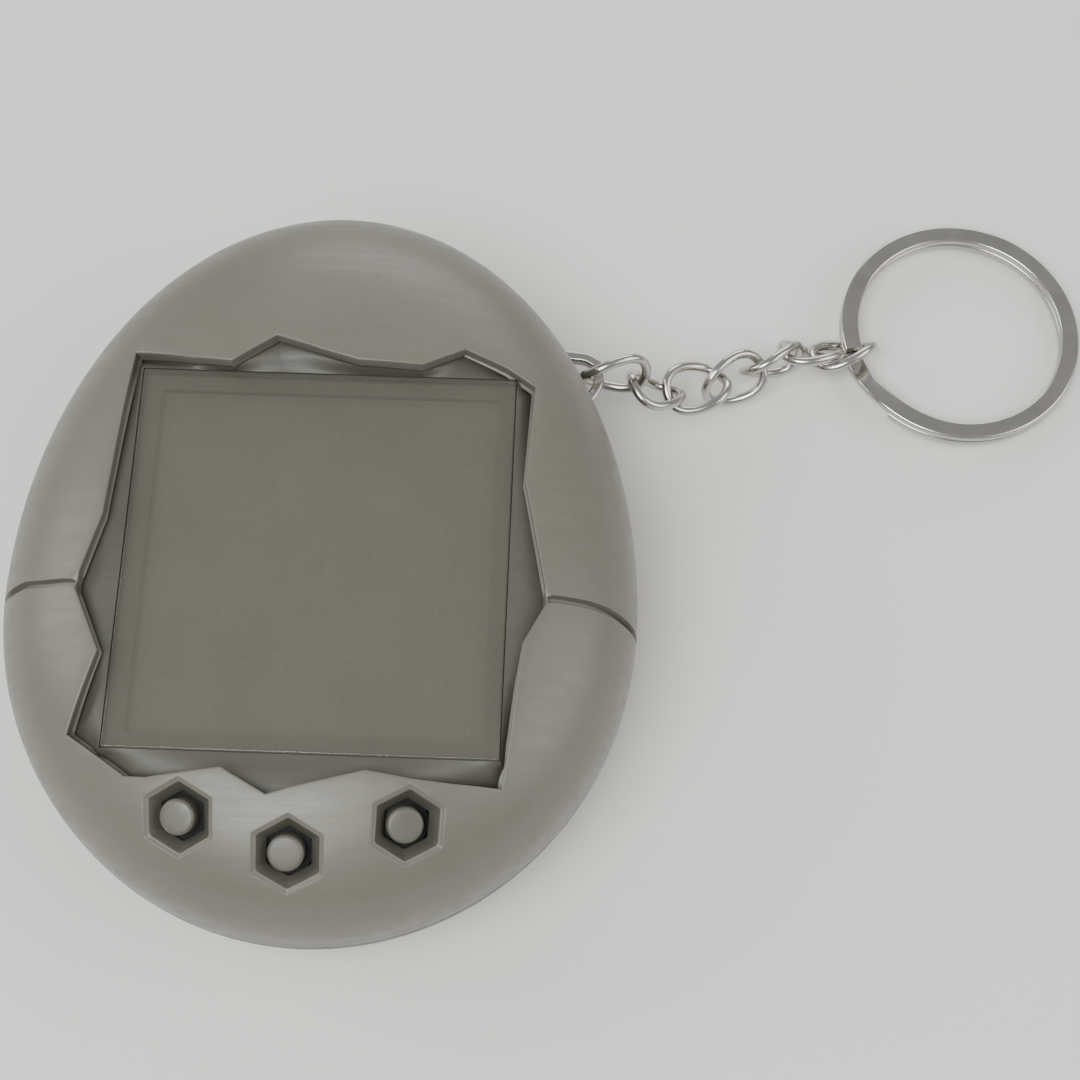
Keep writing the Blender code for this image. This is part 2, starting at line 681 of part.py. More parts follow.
def make_board(laminate, black, metal, ceramic):
    """Printed circuit board, notched round the screw bosses, and the parts soldered to it."""
    outline = [(x, y) for x, y, _ in egg_ring(BOARD_SCALE, 0.0, sides=BOARD_SIDES)]
    board = finish("main_board", slab(outline, BOARD_Z, BOARD_Z + BOARD_THICK), laminate)
    for index, spot in enumerate(POSTS):
        notch = turned([(POST_RADIUS + 0.4, PART_Z), (POST_RADIUS + 0.4, SCREEN_Z)], POST_SIDES, spot)
        combine(board, cutter(f"cut_board_{index + 1}", notch), "DIFFERENCE")
    under = BOARD_Z - SOLDER_GAP
    dome_angles = np.linspace(1.35, 0.0, 5)
    blob = [(BLOB_RADIUS * math.cos(a), under - BLOB_HEIGHT * math.sin(a)) for a in dome_angles]
    finish("chip_blob", turned(blob, 24, BLOB_XY), black, smooth_angle=50.0)
    switch_z = under - SWITCH_SIZE[2] / 2.0
    finish("reset_switch", rounded_box((*RESET_XY, switch_z), SWITCH_SIZE, 0.15), black)
    for name, spot in CAPACITORS.items():
        chip = rounded_box((*spot, under - CAPACITOR_SIZE[2] / 2.0), CAPACITOR_SIZE, 0.1)
        finish(name, chip, ceramic)
    edge = 0.2
    can = [
        (CRYSTAL_RADIUS - edge, -CRYSTAL_HALF),
        (CRYSTAL_RADIUS, edge - CRYSTAL_HALF),
        (CRYSTAL_RADIUS, CRYSTAL_HALF - edge),
        (CRYSTAL_RADIUS - edge, CRYSTAL_HALF),
    ]
    middle = Vector((*CRYSTAL_XY, under - CRYSTAL_RADIUS - CONTACT_GAP))
    finish("crystal", along_axis(turned(can, KEY_SIDES), middle, Vector((0.0, 1.0, 0.0))), metal)


def cap_profile():
    """(radius, height) pairs of a key cap with its flange, from the bottom up."""
    profile = [
        (FLANGE_RADIUS, -FLANGE_BOTTOM_DEPTH),
        (FLANGE_RADIUS, -FLANGE_TOP_DEPTH),
        (CAP_RADIUS, -FLANGE_TOP_DEPTH),
    ]
    for a in np.linspace(0.0, math.pi / 2.0, 4):
        radius = CAP_RADIUS - CAP_ROUND * (1.0 - math.cos(a))
        profile.append((radius, -CAP_TOP_DEPTH - CAP_ROUND * (1.0 - math.sin(a))))
    profile.append((CAP_RADIUS * 0.4, -CAP_TOP_DEPTH + 0.04))
    return profile


def dome_profile():
    """(radius, height) pairs of the rubber cup under a key cap, hollow side down."""
    return [
        (DOME_TOP_RADIUS - DOME_WALL + 0.15, -DOME_TOP_DEPTH - DOME_ROOF),
        (DOME_BOTTOM_RADIUS - DOME_WALL, -DOME_BOTTOM_DEPTH),
        (DOME_BOTTOM_RADIUS, -DOME_BOTTOM_DEPTH),
        (DOME_TOP_RADIUS, -DOME_TOP_DEPTH),
    ]


def make_key_base(name, foot, normal, laminate):
    """Short column on the board, cut off square to the key's axis."""
    low = BOARD_Z + BOARD_THICK + CONTACT_GAP
    column = turned([(BASE_RADIUS, low), (BASE_RADIUS, SCREEN_Z)], KEY_SIDES, foot.xy)
    base = finish(f"key_base_{name}", column, laminate)
    reach = 3.0 * BASE_RADIUS
    above = turned([(reach, 0.0), (reach, reach)], KEY_SIDES)
    combine(base, cutter(f"cut_base_{name}", along_axis(above, foot, normal)), "DIFFERENCE")


def make_buttons(cap_material, rubber, carbon, laminate):
    """Round caps, the rubber domes that return them, their pills and the sloped key bases."""
    pill = [(PILL_RADIUS, -PILL_TOP_DEPTH - PILL_THICK), (PILL_RADIUS, -PILL_TOP_DEPTH)]
    for name, (x, y) in BUTTONS.items():
        point = Vector((x + CAP_SHIFT, y, front_z(x, y)))
        normal = front_normal(x, y)
        cap = along_axis(turned(cap_profile(), 24), point, normal)
        finish(f"button_{name}", cap, cap_material, origin=point)
        finish(f"key_dome_{name}", along_axis(turned(dome_profile(), KEY_SIDES), point, normal), rubber)
        make_key_base(name, point - normal * (DOME_BOTTOM_DEPTH + CONTACT_GAP), normal, laminate)
        finish(f"key_pill_{name}", along_axis(turned(pill, 16), point, normal), carbon, origin=point)


def make_screw(name, spot, metal, head_low, head_height, tip_z):
    """A pan-head screw pointing up, with a cross recess in its head."""
    head_high = head_low + head_height
    body = [
        (SCREW_HEAD_RADIUS - SCREW_EDGE, head_low),
        (SCREW_HEAD_RADIUS, head_low + SCREW_EDGE),
        (SCREW_HEAD_RADIUS, head_high),
        (SCREW_SHANK_RADIUS, head_high),
        (SCREW_SHANK_RADIUS, tip_z - SCREW_POINT),
        (SCREW_SHANK_RADIUS * 0.4, tip_z),
    ]
    screw = finish(name, turned(body, 20, spot), metal, origin=(*spot, head_low))
    for turn in (0.0, math.pi / 2.0):
        blade = box((0.0, 0.0, head_low), (*CROSS_SIZE, head_height))
        bmesh.ops.rotate(blade, verts=blade.verts, matrix=Matrix.Rotation(turn, 3, "Z"))
        bmesh.ops.translate(blade, verts=blade.verts, vec=(*spot, 0.0))
        combine(screw, cutter(f"cut_{name}_{'b' if turn else 'a'}", blade), "DIFFERENCE")


def make_door(plastic, metal):
    """Battery door with a sunk seat for its screw, and the screw."""
    centre = (0.0, DOOR_TAB_Y)
    plate = slab(door_outline(0.0), DOOR_BOTTOM_Z, DOOR_BOTTOM_Z + DOOR_THICK)
    door = finish("battery_door", plate, plastic)
    hole_radius = SHANK_BORE_RADIUS + CONTACT_GAP
    hole = turned([(hole_radius, BELOW_Z), (hole_radius, 3.0)], BORE_SIDES, centre)
    combine(door, cutter("cut_door_hole", hole), "DIFFERENCE")
    head_low = DOOR_BOTTOM_Z + HEAD_GAP
    sink_z = head_low + DOOR_HEAD_HEIGHT + HEAD_GAP
    sink = turned([(BORE_RADIUS, BELOW_Z), (BORE_RADIUS, sink_z)], POST_SIDES, centre)
    combine(door, cutter("cut_door_sink", sink), "DIFFERENCE")
    make_screw("battery_door_screw", centre, metal, head_low, DOOR_HEAD_HEIGHT, DOOR_SCREW_TIP_Z)


def make_power(cell_metal, brass):
    """Coin cell and the spring strips above and below it."""
    top = CELL_BOTTOM_Z + CELL_THICK
    cell = [
        (CELL_RADIUS - 0.4, CELL_BOTTOM_Z),
        (CELL_RADIUS, CELL_BOTTOM_Z + 0.4),
        (CELL_RADIUS, top - CELL_STEP),
        (CELL_RADIUS - CELL_LIP + 0.2, top - CELL_STEP),
        (CELL_RADIUS - CELL_LIP, top),
    ]
    finish("battery_cell", turned(cell, 40), cell_metal)
    roof_z = POCKET_TOP_Z - CONTACT_THICK / 2.0 - CONTACT_GAP
    finish("contact_negative", rounded_box((0.0, 0.0, roof_z), NEGATIVE_SIZE, 0.05, 1), brass)
    door_z = DOOR_BOTTOM_Z + DOOR_THICK + CONTACT_THICK / 2.0 + CONTACT_GAP
    finish("contact_positive", rounded_box((0.0, 0.0, door_z), POSITIVE_SIZE, 0.05, 1), brass)


def make_sounder(brass, ceramic):
    """Thin brass disc with its smaller ceramic disc above."""
    centre = (0.0, BUZZER_Y)
    disc = turned([(BUZZER_RADIUS, BUZZER_Z), (BUZZER_RADIUS, BUZZER_Z + BUZZER_THICK)], 32, centre)
    finish("buzzer_disc", disc, brass)
    low = BUZZER_Z + BUZZER_THICK + 0.1
    chip = turned([(CERAMIC_RADIUS, low), (CERAMIC_RADIUS, low + BUZZER_THICK)], SEAT_SIDES, centre)
    finish("buzzer_ceramic", chip, ceramic)


def make_reset_button(plastic):
    """Plunger with a collar that keeps it behind the hole in the back."""
    profile = [
        (RESET_RADIUS - 0.1, RESET_TIP_Z),
        (RESET_RADIUS, RESET_TIP_Z + 0.1),
        (RESET_RADIUS, 2.6),
        (RESET_COLLAR, 2.6),
        (RESET_COLLAR, 3.2),
        (RESET_RADIUS, 3.2),
        (RESET_RADIUS, RESET_TOP_Z),
    ]
    finish("reset_button", turned(profile, 16, RESET_XY), plastic, origin=(*RESET_XY, RESET_TIP_Z))


def make_back(plastic, metal, brass, ceramic):
    """Everything that is reached from the back."""
    make_door(plastic, metal)
    for index, spot in enumerate(POSTS):
        make_screw(f"case_screw_{index + 1}", spot, metal, SCREW_HEAD_Z, SCREW_HEAD_HEIGHT, SCREW_TIP_Z)
    make_power(metal, brass)
    make_sounder(brass, ceramic)
    make_reset_button(plastic)


def make_wires(sleeve_red, sleeve_black):
    """Two leads from the board down to the sounder, on its disc and on its ceramic."""
    section = [(x, y) for x, y, _ in circle(WIRE_RADIUS, 0.0, 8)]
    over_disc = Vector((-1.6, BUZZER_Y - BUZZER_RADIUS + 0.7, BUZZER_Z + 0.5))
    over_ceramic = Vector((1.6, BUZZER_Y - BUZZER_RADIUS + 2.4, BUZZER_Z + 0.8))
    routes = (("buzzer_wire_1", over_disc, sleeve_black), ("buzzer_wire_2", over_ceramic, sleeve_red))
    for name, end, sleeve in routes:
        start = Vector((end.x, end.y - 1.5, BOARD_Z - SOLDER_GAP))
        pull = Vector((0.0, 3.0, -2.0))
        shares = [i / WIRE_STEPS for i in range(WIRE_STEPS + 1)]
        path = [start.lerp(end, share) + pull * share * (1.0 - share) for share in shares]
        stations = []
        for i, point in enumerate(path):
            tangent = (path[min(i + 1, WIRE_STEPS)] - path[max(i - 1, 0)]).normalized()
            side = Vector((1.0, 0.0, 0.0))
            stations.append((point, side, side.cross(tangent)))
        finish(name, sweep(stations, section, False), sleeve, 60.0)


def lug_loop(band, low, high):
    """The lug's flat closed strap as a bmesh."""
    outer = offset_outline(LUG_LINE, band / 2.0)
    inner = offset_outline(LUG_LINE, -band / 2.0)
    rings = [
        [(x, y, low) for x, y in inner],
        [(x, y, low) for x, y in outer],
        [(x, y, high) for x, y in outer],
        [(x, y, high) for x, y in inner],
    ]
    return loft(rings, closed=True)


def make_lug(metal):
    strap = lug_loop(LUG_BAND, LUG_Z - LUG_THICK / 2.0, LUG_Z + LUG_THICK / 2.0)
    finish("chain_lug", bevel_all(strap, LUG_EDGE, 1, 50.0), metal)


def sweep(stations, section, closed):
    """A tube whose section is carried along stations of (point, side, up)."""
    rings = []
    for point, side, up in stations:
        rings.append([point + side * u + up * v for u, v in section])
    return loft(rings, closed=closed)


def oval_power(value, power):
    """Signed power, for a superellipse."""
    return math.copysign(abs(value) ** power, value)


def link_axes(heading, climb, roll):
    """Unit vectors along a link, across it and out of its face."""
    heading = math.radians(heading)
    climb = math.radians(climb)
    roll = math.radians(roll)
    flat = math.cos(climb)
    along = Vector((math.cos(heading) * flat, math.sin(heading) * flat, math.sin(climb)))
    level = Vector((0.0, 0.0, 1.0)).cross(along).normalized()
    rise = along.cross(level)
    across = level * math.cos(roll) + rise * math.sin(roll)
    return along, across, along.cross(across)


def link_stations(steps):
    """Stations round a twisted oval link lying along +X, with frames that close on themselves."""
    half_length = (LINK_LENGTH - LINK_WIRE) / 2.0
    half_width = (LINK_WIDTH - LINK_WIRE) / 2.0
    points = []
    for i in range(steps):
        angle = 2.0 * math.pi * i / steps
        x = half_length * oval_power(math.cos(angle), 2.0 / LINK_ROUNDNESS)
        width = half_width * oval_power(math.sin(angle), 2.0 / LINK_ROUNDNESS)
        turn = math.radians(LINK_TWIST) / 2.0 * x / half_length
        points.append(Vector((x, width * math.cos(turn), width * math.sin(turn))))
    stations = []
    for i, point in enumerate(points):
        tangent = (points[(i + 1) % steps] - points[i - 1]).normalized()
        turn = math.radians(LINK_TWIST) / 2.0 * point.x / half_length
        face = Vector((0.0, -math.sin(turn), math.cos(turn)))
        side = tangent.cross(face).normalized()
        stations.append((point, side, side.cross(tangent)))
    return stations


def make_links(metal):
    """Seven links, each with its origin in its near bow, where it turns on the one before."""
    section = [(x, y) for x, y, _ in circle(LINK_WIRE / 2.0, 0.0, 8, start=math.pi / 8.0)]
    for index, (centre, heading, climb, roll) in enumerate(LINKS):
        along, across, out = link_axes(heading, climb, roll)
        frame = Matrix((along, across, out)).transposed()
        middle = Vector(centre)
        stations = [(middle + frame @ p, frame @ s, frame @ u) for p, s, u in link_stations(LINK_STEPS)]
        pivot = middle - along * (LINK_LENGTH - LINK_WIRE) / 2.0
        finish(f"chain_link_{index + 1}", sweep(stations, section, True), metal, 60.0, pivot)


def make_split_ring(metal):
    """Two coils of flat wire joined by a slanting jog."""
    half_gap = (RING_COIL + RING_COIL_GAP) / 2.0
    total = 720.0 - RING_JOG - RING_END_GAP
    half_w = RING_WIDTH / 2.0
    half_t = RING_COIL / 2.0
    corner = RING_CORNER
    section = [
        (half_w, -half_t + corner), (half_w, half_t - corner), (half_w - corner, half_t),
        (-half_w + corner, half_t), (-half_w, half_t - corner), (-half_w, -half_t + corner),
        (-half_w + corner, -half_t), (half_w - corner, -half_t),
    ]
    centre = Vector(RING_CENTRE)
    away = Vector((centre.x - LINKS[-1][0][0], centre.y - LINKS[-1][0][1], 0.0)).normalized()
    hinge = Vector((-away.y, away.x, 0.0))
    tilt = Matrix.Rotation(math.radians(RING_TILT), 3, hinge)
    stations = []
    for i in range(RING_STEPS + 1):
        sweep_angle = total * i / RING_STEPS
        share = min(max((sweep_angle - 360.0 + RING_JOG) / RING_JOG, 0.0), 1.0)
        height = half_gap * (2.0 * share * share * (3.0 - 2.0 * share) - 1.0)
        angle = math.radians(RING_JOG_AT + sweep_angle)
        radial = Vector((math.cos(angle), math.sin(angle), 0.0))
        up = tilt @ Vector((0.0, 0.0, 1.0))
        stations.append((centre + tilt @ (radial * RING_RADIUS) + up * height, tilt @ radial, up))
    last = Vector(LINKS[-1][0])
    along, _, _ = link_axes(*LINKS[-1][1:])
    pivot = last + along * (LINK_LENGTH - LINK_WIRE) / 2.0
    finish("split_ring", sweep(stations, section, False), metal, 35.0, pivot)


def build():
    for obj in list(bpy.data.objects):
        bpy.data.objects.remove(obj, do_unlink=True)
    shell = material("shell_plastic", (0.20, 0.20, 0.17), 0.42)
    back = material("back_plastic", (0.20, 0.20, 0.17), 0.45)
    panel = material("panel_plastic", (0.16, 0.16, 0.135), 0.5)
    clear = material("lens_clear", (0.22, 0.22, 0.19), 0.08, alpha=0.5)
    glass = material("display_glass", (0.20, 0.22, 0.17), 0.1)
    foil = material("reflector_foil", (0.6, 0.62, 0.55), 0.3, 0.4)
    frame = material("holder_plastic", (0.05, 0.05, 0.05), 0.5)
    cap = material("button_plastic", (0.24, 0.24, 0.205), 0.4)
    rubber = material("silicone_rubber", (0.5, 0.5, 0.48), 0.6)
    carbon = material("carbon_pill", (0.02, 0.02, 0.02), 0.7)
    laminate = material("board_laminate", (0.03, 0.12, 0.05), 0.45)
    black = material("epoxy_black", (0.015, 0.015, 0.015), 0.35)
    ceramic = material("ceramic", (0.45, 0.36, 0.25), 0.5)
    steel = material("nickel_steel", (0.62, 0.61, 0.57), 0.22, 1.0)
    brass = material("spring_brass", (0.72, 0.55, 0.25), 0.3, 1.0)
    red = material("sleeve_red", (0.4, 0.02, 0.02), 0.4)
    black_sleeve = material("sleeve_black", (0.02, 0.02, 0.02), 0.4)
    make_front_shell(shell)
    make_rear_shell(back)
    make_window_panel(panel)
    make_screen(clear, glass, foil, frame)
    make_zebra_strips(rubber)
    make_board(laminate, black, steel, ceramic)
    make_buttons(cap, rubber, carbon, frame)
    make_back(back, steel, brass, ceramic)
    make_wires(red, black_sleeve)
    make_lug(steel)
    make_links(steel)
    make_split_ring(steel)


build()
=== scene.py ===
"""Virtual pet keychain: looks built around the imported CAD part."""

import math

import bmesh
import bpy
from mathutils import Matrix, Vector, geometry


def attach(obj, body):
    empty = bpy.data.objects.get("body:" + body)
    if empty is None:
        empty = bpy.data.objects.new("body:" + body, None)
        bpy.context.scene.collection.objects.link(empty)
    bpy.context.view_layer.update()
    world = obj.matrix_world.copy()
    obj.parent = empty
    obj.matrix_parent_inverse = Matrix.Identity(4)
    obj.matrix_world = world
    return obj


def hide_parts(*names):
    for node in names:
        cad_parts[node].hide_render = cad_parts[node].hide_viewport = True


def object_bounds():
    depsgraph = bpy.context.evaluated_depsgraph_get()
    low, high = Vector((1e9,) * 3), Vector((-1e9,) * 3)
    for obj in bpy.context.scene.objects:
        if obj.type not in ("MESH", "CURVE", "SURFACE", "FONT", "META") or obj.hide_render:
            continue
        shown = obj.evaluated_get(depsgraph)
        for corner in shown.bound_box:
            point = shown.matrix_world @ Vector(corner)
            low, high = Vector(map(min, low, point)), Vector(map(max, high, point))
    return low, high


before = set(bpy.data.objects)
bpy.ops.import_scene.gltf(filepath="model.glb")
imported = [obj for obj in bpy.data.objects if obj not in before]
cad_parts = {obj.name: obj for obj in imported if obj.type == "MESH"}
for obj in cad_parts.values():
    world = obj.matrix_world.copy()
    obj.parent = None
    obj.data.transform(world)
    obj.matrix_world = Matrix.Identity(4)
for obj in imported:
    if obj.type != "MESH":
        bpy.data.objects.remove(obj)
CAD_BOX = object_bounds()
MM = 0.001
SHARP = 40.0

# ---------------- camera

CAMERA_AT = Vector((16.62, -50.48, 145.71)) * MM
AZIMUTH = math.radians(2.08)
ELEVATION = math.radians(68.0)
LENS_MM = 70.53

# ---------------- sizes in millimetres

HALF_WIDTH = 21.5
TOP_LENGTH = 29.7
BOTTOM_LENGTH = 22.7
EGG_CENTRE_Y = -1.4
RIM_Z = 9.0
FRONT_RISE = 9.95
FRONT_POWER = 2.8
BACK_DROP = 10.3
BACK_POWER = 2.6
PART_Z = 8.0
PARTING_GAP = 0.15
FRONT_WALL = 1.0
BACK_WALL = 1.3
SCREEN_Z = 16.32
SCREEN_WIDTH = 25.4
SCREEN_HEIGHT = 26.8
SCREEN_PROUD = 0.06
LENS_THICK = 1.0
LENS_GAP = 0.05
PANEL_GAP = 0.25
PANEL_THICK = 0.8
PANEL_LAP = 0.28
WINDOW_OUTLINE = [
    (-13.4, 14.6), (-9.5, 13.75), (-6.5, 13.35), (-3.6, 15.4), (0.0, 14.2), (2.1, 13.6),
    (6.4, 13.5), (9.2, 15.1), (12.1, 14.0), (14.0, 12.9), (13.6, 5.5), (14.3, 2.2),
    (15.3, -2.5), (15.3, -3.0), (14.0, -5.6), (13.6, -8.6), (13.3, -12.1), (12.9, -15.1),
    (9.8, -15.15), (7.4, -15.05), (4.4, -14.7), (-0.2, -15.9), (-1.75, -16.4), (-4.7, -14.8),
    (-9.5, -15.4), (-10.9, -15.3), (-15.0, -12.5), (-13.3, -7.3), (-15.3, -3.0),
    (-15.3, -2.5), (-14.0, 2.1), (-13.8, 5.6),
]
GROOVE_HALF = 0.27
GROOVE_DEPTH = 0.5
GROOVE_RIGHT = [(15.3, -2.72), (16.2, -2.64), (18.1, -2.58), (19.5, -2.65), (20.9, -2.95), (21.5, -3.0)]
GROOVE_LEFT = [(15.3, -2.72), (16.2, -2.6), (17.7, -2.52), (19.2, -2.3), (20.2, -2.4), (21.5, -2.45)]
BUTTONS = {"left": (-7.3, -17.9), "middle": (-0.25, -19.95), "right": (7.2, -17.9)}
WELL_RADIUS = 2.55
WELL_CORNER = 0.14
CAP_RADIUS = 1.18
CAP_EDGE = 0.27
CAP_SHIFT = -0.14
DOOR_RADIUS = 11.0
DOOR_CLEARANCE = 0.3
DOOR_THICK = 1.0
DOOR_LIP = 0.18
DOOR_TAB_Y = -12.6
DOOR_TAB_RADIUS = 2.3
FINGER_DISH_Y = 4.6
RECESS_Z = 1.2
POCKET_RADIUS = 10.5
POCKET_TOP_Z = 6.1
POSTS = [(-16.4, 11.2), (16.4, 11.2), (-16.3, -9.0), (16.3, -9.0)]
POST_RADIUS = 1.9
POST_TOP_Z = 7.6
BORE_RADIUS = 1.55
SHANK_BORE_RADIUS = 1.0
SHOULDER_Z = 5.25
SCREW_HEAD_RADIUS = 1.3
SCREW_HEAD_Z = 4.2
SCREW_SIDES = 64
THREAD_PITCH = 0.5
BUZZER_Y = 17.0
SLOT_PITCH = 1.5
SLOT_WIDTH = 0.7
SLOT_LENGTH = 5.6
RESET_XY = (9.0, 15.8)
RESET_RADIUS = 1.1
RESET_SEAT_Z = 2.45
LUG_Z = 7.3
LUG_THICK = 0.9
LUG_BAND = 0.7
LUG_CORNER = 0.16
LUG_ROOM = 0.2
LUG_LINE = [
    (13.2, 18.6), (15.23, 19.94), (17.44, 19.73), (18.31, 19.23), (18.45, 17.85), (18.13, 17.03),
    (16.9, 15.3), (14.9, 14.6), (13.2, 16.2),
]
LINK_LENGTH = 5.45
LINK_WIDTH = 4.4
LINK_WIRE = 0.75
LINK_DRAWN_WIRE = 0.704
LINK_TWIST = -45.0
LINK_ROUNDNESS = 2.3
LINK_FINE_STEPS = 720
LINKS = [
    ((19.55, 18.56, 7.4), 9, -5, -92),
    ((22.52, 18.33, 5.58), 32, -46, -16),
    ((25.70, 19.40, 4.08), 22, -10, -1),
    ((28.61, 20.71, 2.83), 28, 5, 57),
    ((31.58, 22.32, 2.66), 28, -16, 98),
    ((34.50, 23.34, 2.26), 8, -20, -51),
    ((36.95, 23.73, 1.91), 18.2, -3.9, -44),
]
RING_CENTRE = (45.96, 26.04, 1.25)
RING_RADIUS = 8.49
RING_WIDTH = 1.35
RING_COIL = 0.6
RING_COIL_GAP = 0.08
RING_CORNER = 0.2
RING_TILT = 3.1
RING_JOG = 36.0
RING_JOG_AT = 232.0
RING_END_GAP = 2.0
RING_STEPS = 330

# ---------------- dome surfaces


def polar(radius, angle):
    return (radius * math.cos(angle), radius * math.sin(angle))


def plan_length(y):
    return TOP_LENGTH if y > EGG_CENTRE_Y else BOTTOM_LENGTH


def plan_ratio(x, y):
    """Share of the way from the egg's centre to its plan outline."""
    return math.hypot(x / HALF_WIDTH, (y - EGG_CENTRE_Y) / plan_length(y))


def outwards(x, y):
    """Level direction square to the egg's plan outline."""
    return Vector((x / HALF_WIDTH**2, (y - EGG_CENTRE_Y) / plan_length(y) ** 2, 0.0)).normalized()


def front_z(x, y):
    ratio = min(plan_ratio(x, y), 1.0)
    return RIM_Z + FRONT_RISE * (1.0 - ratio**FRONT_POWER) ** (1.0 / FRONT_POWER)


def back_z(x, y):
    """Back dome, flattened softly where it meets the flat that the toy lies on."""
    ratio = min(plan_ratio(x, y), 1.0)
    z = RIM_Z - BACK_DROP * (1.0 - ratio**BACK_POWER) ** (1.0 / BACK_POWER)
    return (z + math.sqrt(z * z + 0.02)) / 2.0


class Dome:
    """One half of the egg, with a flat chart whose radius grows evenly along the surface."""

    def __init__(self, height, power, side, edge_ratio):
        self.height = height
        self.power = power
        self.side = side
        self.edge = 1.0 - math.acos(edge_ratio ** (power / 2.0)) / (math.pi / 2.0)

    def chart(self, x, y):
        """Plan point to chart point."""
        across = x / HALF_WIDTH
        along = (y - EGG_CENTRE_Y) / plan_length(y)
        ratio = math.hypot(across, along)
        if ratio < 1e-9:
            return (0.0, 0.0)
        lift = math.acos(min(ratio, 1.0) ** (self.power / 2.0))
        radius = 1.0 - lift / (math.pi / 2.0)
        return (radius * across / ratio, radius * along / ratio)

    def plan(self, radius, angle):
        """Chart radius and angle to plan point."""
        ratio = math.cos((1.0 - radius) * math.pi / 2.0) ** (2.0 / self.power)
        length = TOP_LENGTH if math.sin(angle) > 0.0 else BOTTOM_LENGTH
        return (ratio * HALF_WIDTH * math.cos(angle), EGG_CENTRE_Y + ratio * length * math.sin(angle))

    def at(self, x, y):
        return Vector((x, y, self.height(x, y)))

    def grooved(self, x, y):
        """Point of the surface with the crack groove cut in."""
        depth = groove_depth(x, y) if self.side > 0 else 0.0
        return self.at(x, y) - self.normal(x, y) * depth

    def normal(self, x, y):
        """Outward normal, level at the rim."""
        ratio = plan_ratio(x, y)
        if ratio > 0.9995:
            return outwards(x, y)
        step = 0.004
        if ratio > 0.97:
            toward = Vector((x, y - EGG_CENTRE_Y)).normalized() * step
            low = self.height(x - toward.x, y - toward.y)
            slope = abs(self.height(x, y) - low) / step
            return (outwards(x, y) * slope + Vector((0.0, 0.0, self.side))).normalized()
        slope_x = (self.height(x + step, y) - self.height(x - step, y)) / (2.0 * step)
        slope_y = (self.height(x, y + step) - self.height(x, y - step)) / (2.0 * step)
        return Vector((-slope_x, -slope_y, 1.0)).normalized() * self.side


def side_ratio(z):
    """Plan ratio of the back dome's side at height z."""
    depth = max(RIM_Z - z, 0.0) / BACK_DROP
    return (1.0 - depth**BACK_POWER) ** (1.0 / BACK_POWER)


RIM_LIP = 0.14
RIM_STEPS = 220
BACK_TOP_Z = PART_Z - PARTING_GAP
FRONT = Dome(front_z, FRONT_POWER, 1.0, 1.0)
BACK = Dome(back_z, BACK_POWER, -1.0, side_ratio(BACK_TOP_Z - RIM_LIP))


def groove_line(x):
    """Middle of the crack groove at a plan x, on either side."""
    points = GROOVE_RIGHT if x > 0.0 else GROOVE_LEFT
    reach = abs(x)
    for (x0, y0), (x1, y1) in zip(points, points[1:]):
        if reach <= x1:
            share = max((reach - x0) / (x1 - x0), 0.0)
            return y0 + (y1 - y0) * share
    return points[-1][1]


def smooth(share):
    share = min(max(share, 0.0), 1.0)
    return share * share * (3.0 - 2.0 * share)


def groove_depth(x, y):
    if abs(x) < 14.5:
        return 0.0
    away = abs(y - groove_line(x))
    return GROOVE_DEPTH * smooth((GROOVE_HALF - away) / 0.1)


# ---------------- outlines


def offset_outline(outline, distance):
    """Moves every side of a clockwise outline outwards by distance, with mitred corners."""
    moved = []
    count = len(outline)
    for i in range(count):
        before = Vector(outline[i - 1])
        here = Vector(outline[i])
        after = Vector(outline[(i + 1) % count])
        first = (here - before).normalized()
        second = (after - here).normalized()
        out_first = Vector((-first.y, first.x))
        out_second = Vector((-second.y, second.x))
        mitre = (out_first + out_second).normalized()
        reach = distance / max(mitre.dot(out_first), 0.6)
        moved.append(tuple(here + mitre * reach))
    return moved


def divided(outline, guide, step):
    """Points along an outline, with as many on each side as the guide outline needs for the step."""
    points = []
    count = len(outline)
    for i in range(count):
        j = (i + 1) % count
        length = (Vector(guide[j]) - Vector(guide[i])).length
        parts = max(1, math.ceil(length / step))
        for k in range(parts):
            points.append(tuple(Vector(outline[i]).lerp(Vector(outline[j]), k / parts)))
    return points


def rounded_outline(outline, radius, steps=4):
    """Cuts the corners of an outline with short arcs."""
    points = []
    count = len(outline)
    for i in range(count):
        here = Vector(outline[i])
        before = Vector(outline[i - 1]) - here
        after = Vector(outline[(i + 1) % count]) - here
        cut = min(radius, before.length * 0.4, after.length * 0.4)
        start = here + before.normalized() * cut
        end = here + after.normalized() * cut
        for k in range(steps + 1):
            t = k / steps
            points.append(tuple(start * (1 - t) ** 2 + here * 2 * t * (1 - t) + end * t * t))
    return points


def inside(outline, x, y):
    odd = False
    for i in range(len(outline)):
        x0, y0 = outline[i - 1]
        x1, y1 = outline[i]
        if (y0 > y) != (y1 > y) and x < (x1 - x0) * (y - y0) / (y1 - y0) + x0:
            odd = not odd
    return odd


def gap_to(outline, x, y):
    """Shortest distance from a point to an outline."""
    best = 1e9
    for i in range(len(outline)):
        x0, y0 = outline[i - 1]
        x1, y1 = outline[i]
        dx, dy = x1 - x0, y1 - y0
        t = ((x - x0) * dx + (y - y0) * dy) / max(dx * dx + dy * dy, 1e-12)
        t = min(max(t, 0.0), 1.0)
        best = min(best, math.hypot(x - x0 - t * dx, y - y0 - t * dy))
    return best


def circle(centre, radius, sides, start=0.0):
    """A clockwise circle in plan."""
    return [
        (centre[0] + radius * math.cos(start - math.tau * i / sides),
         centre[1] + radius * math.sin(start - math.tau * i / sides))
        for i in range(sides)
    ]


def level(outline, z, shift_y=0.0):
    """Points at height z over a plan outline."""
    return [(x, y + shift_y, z) for x, y in outline]


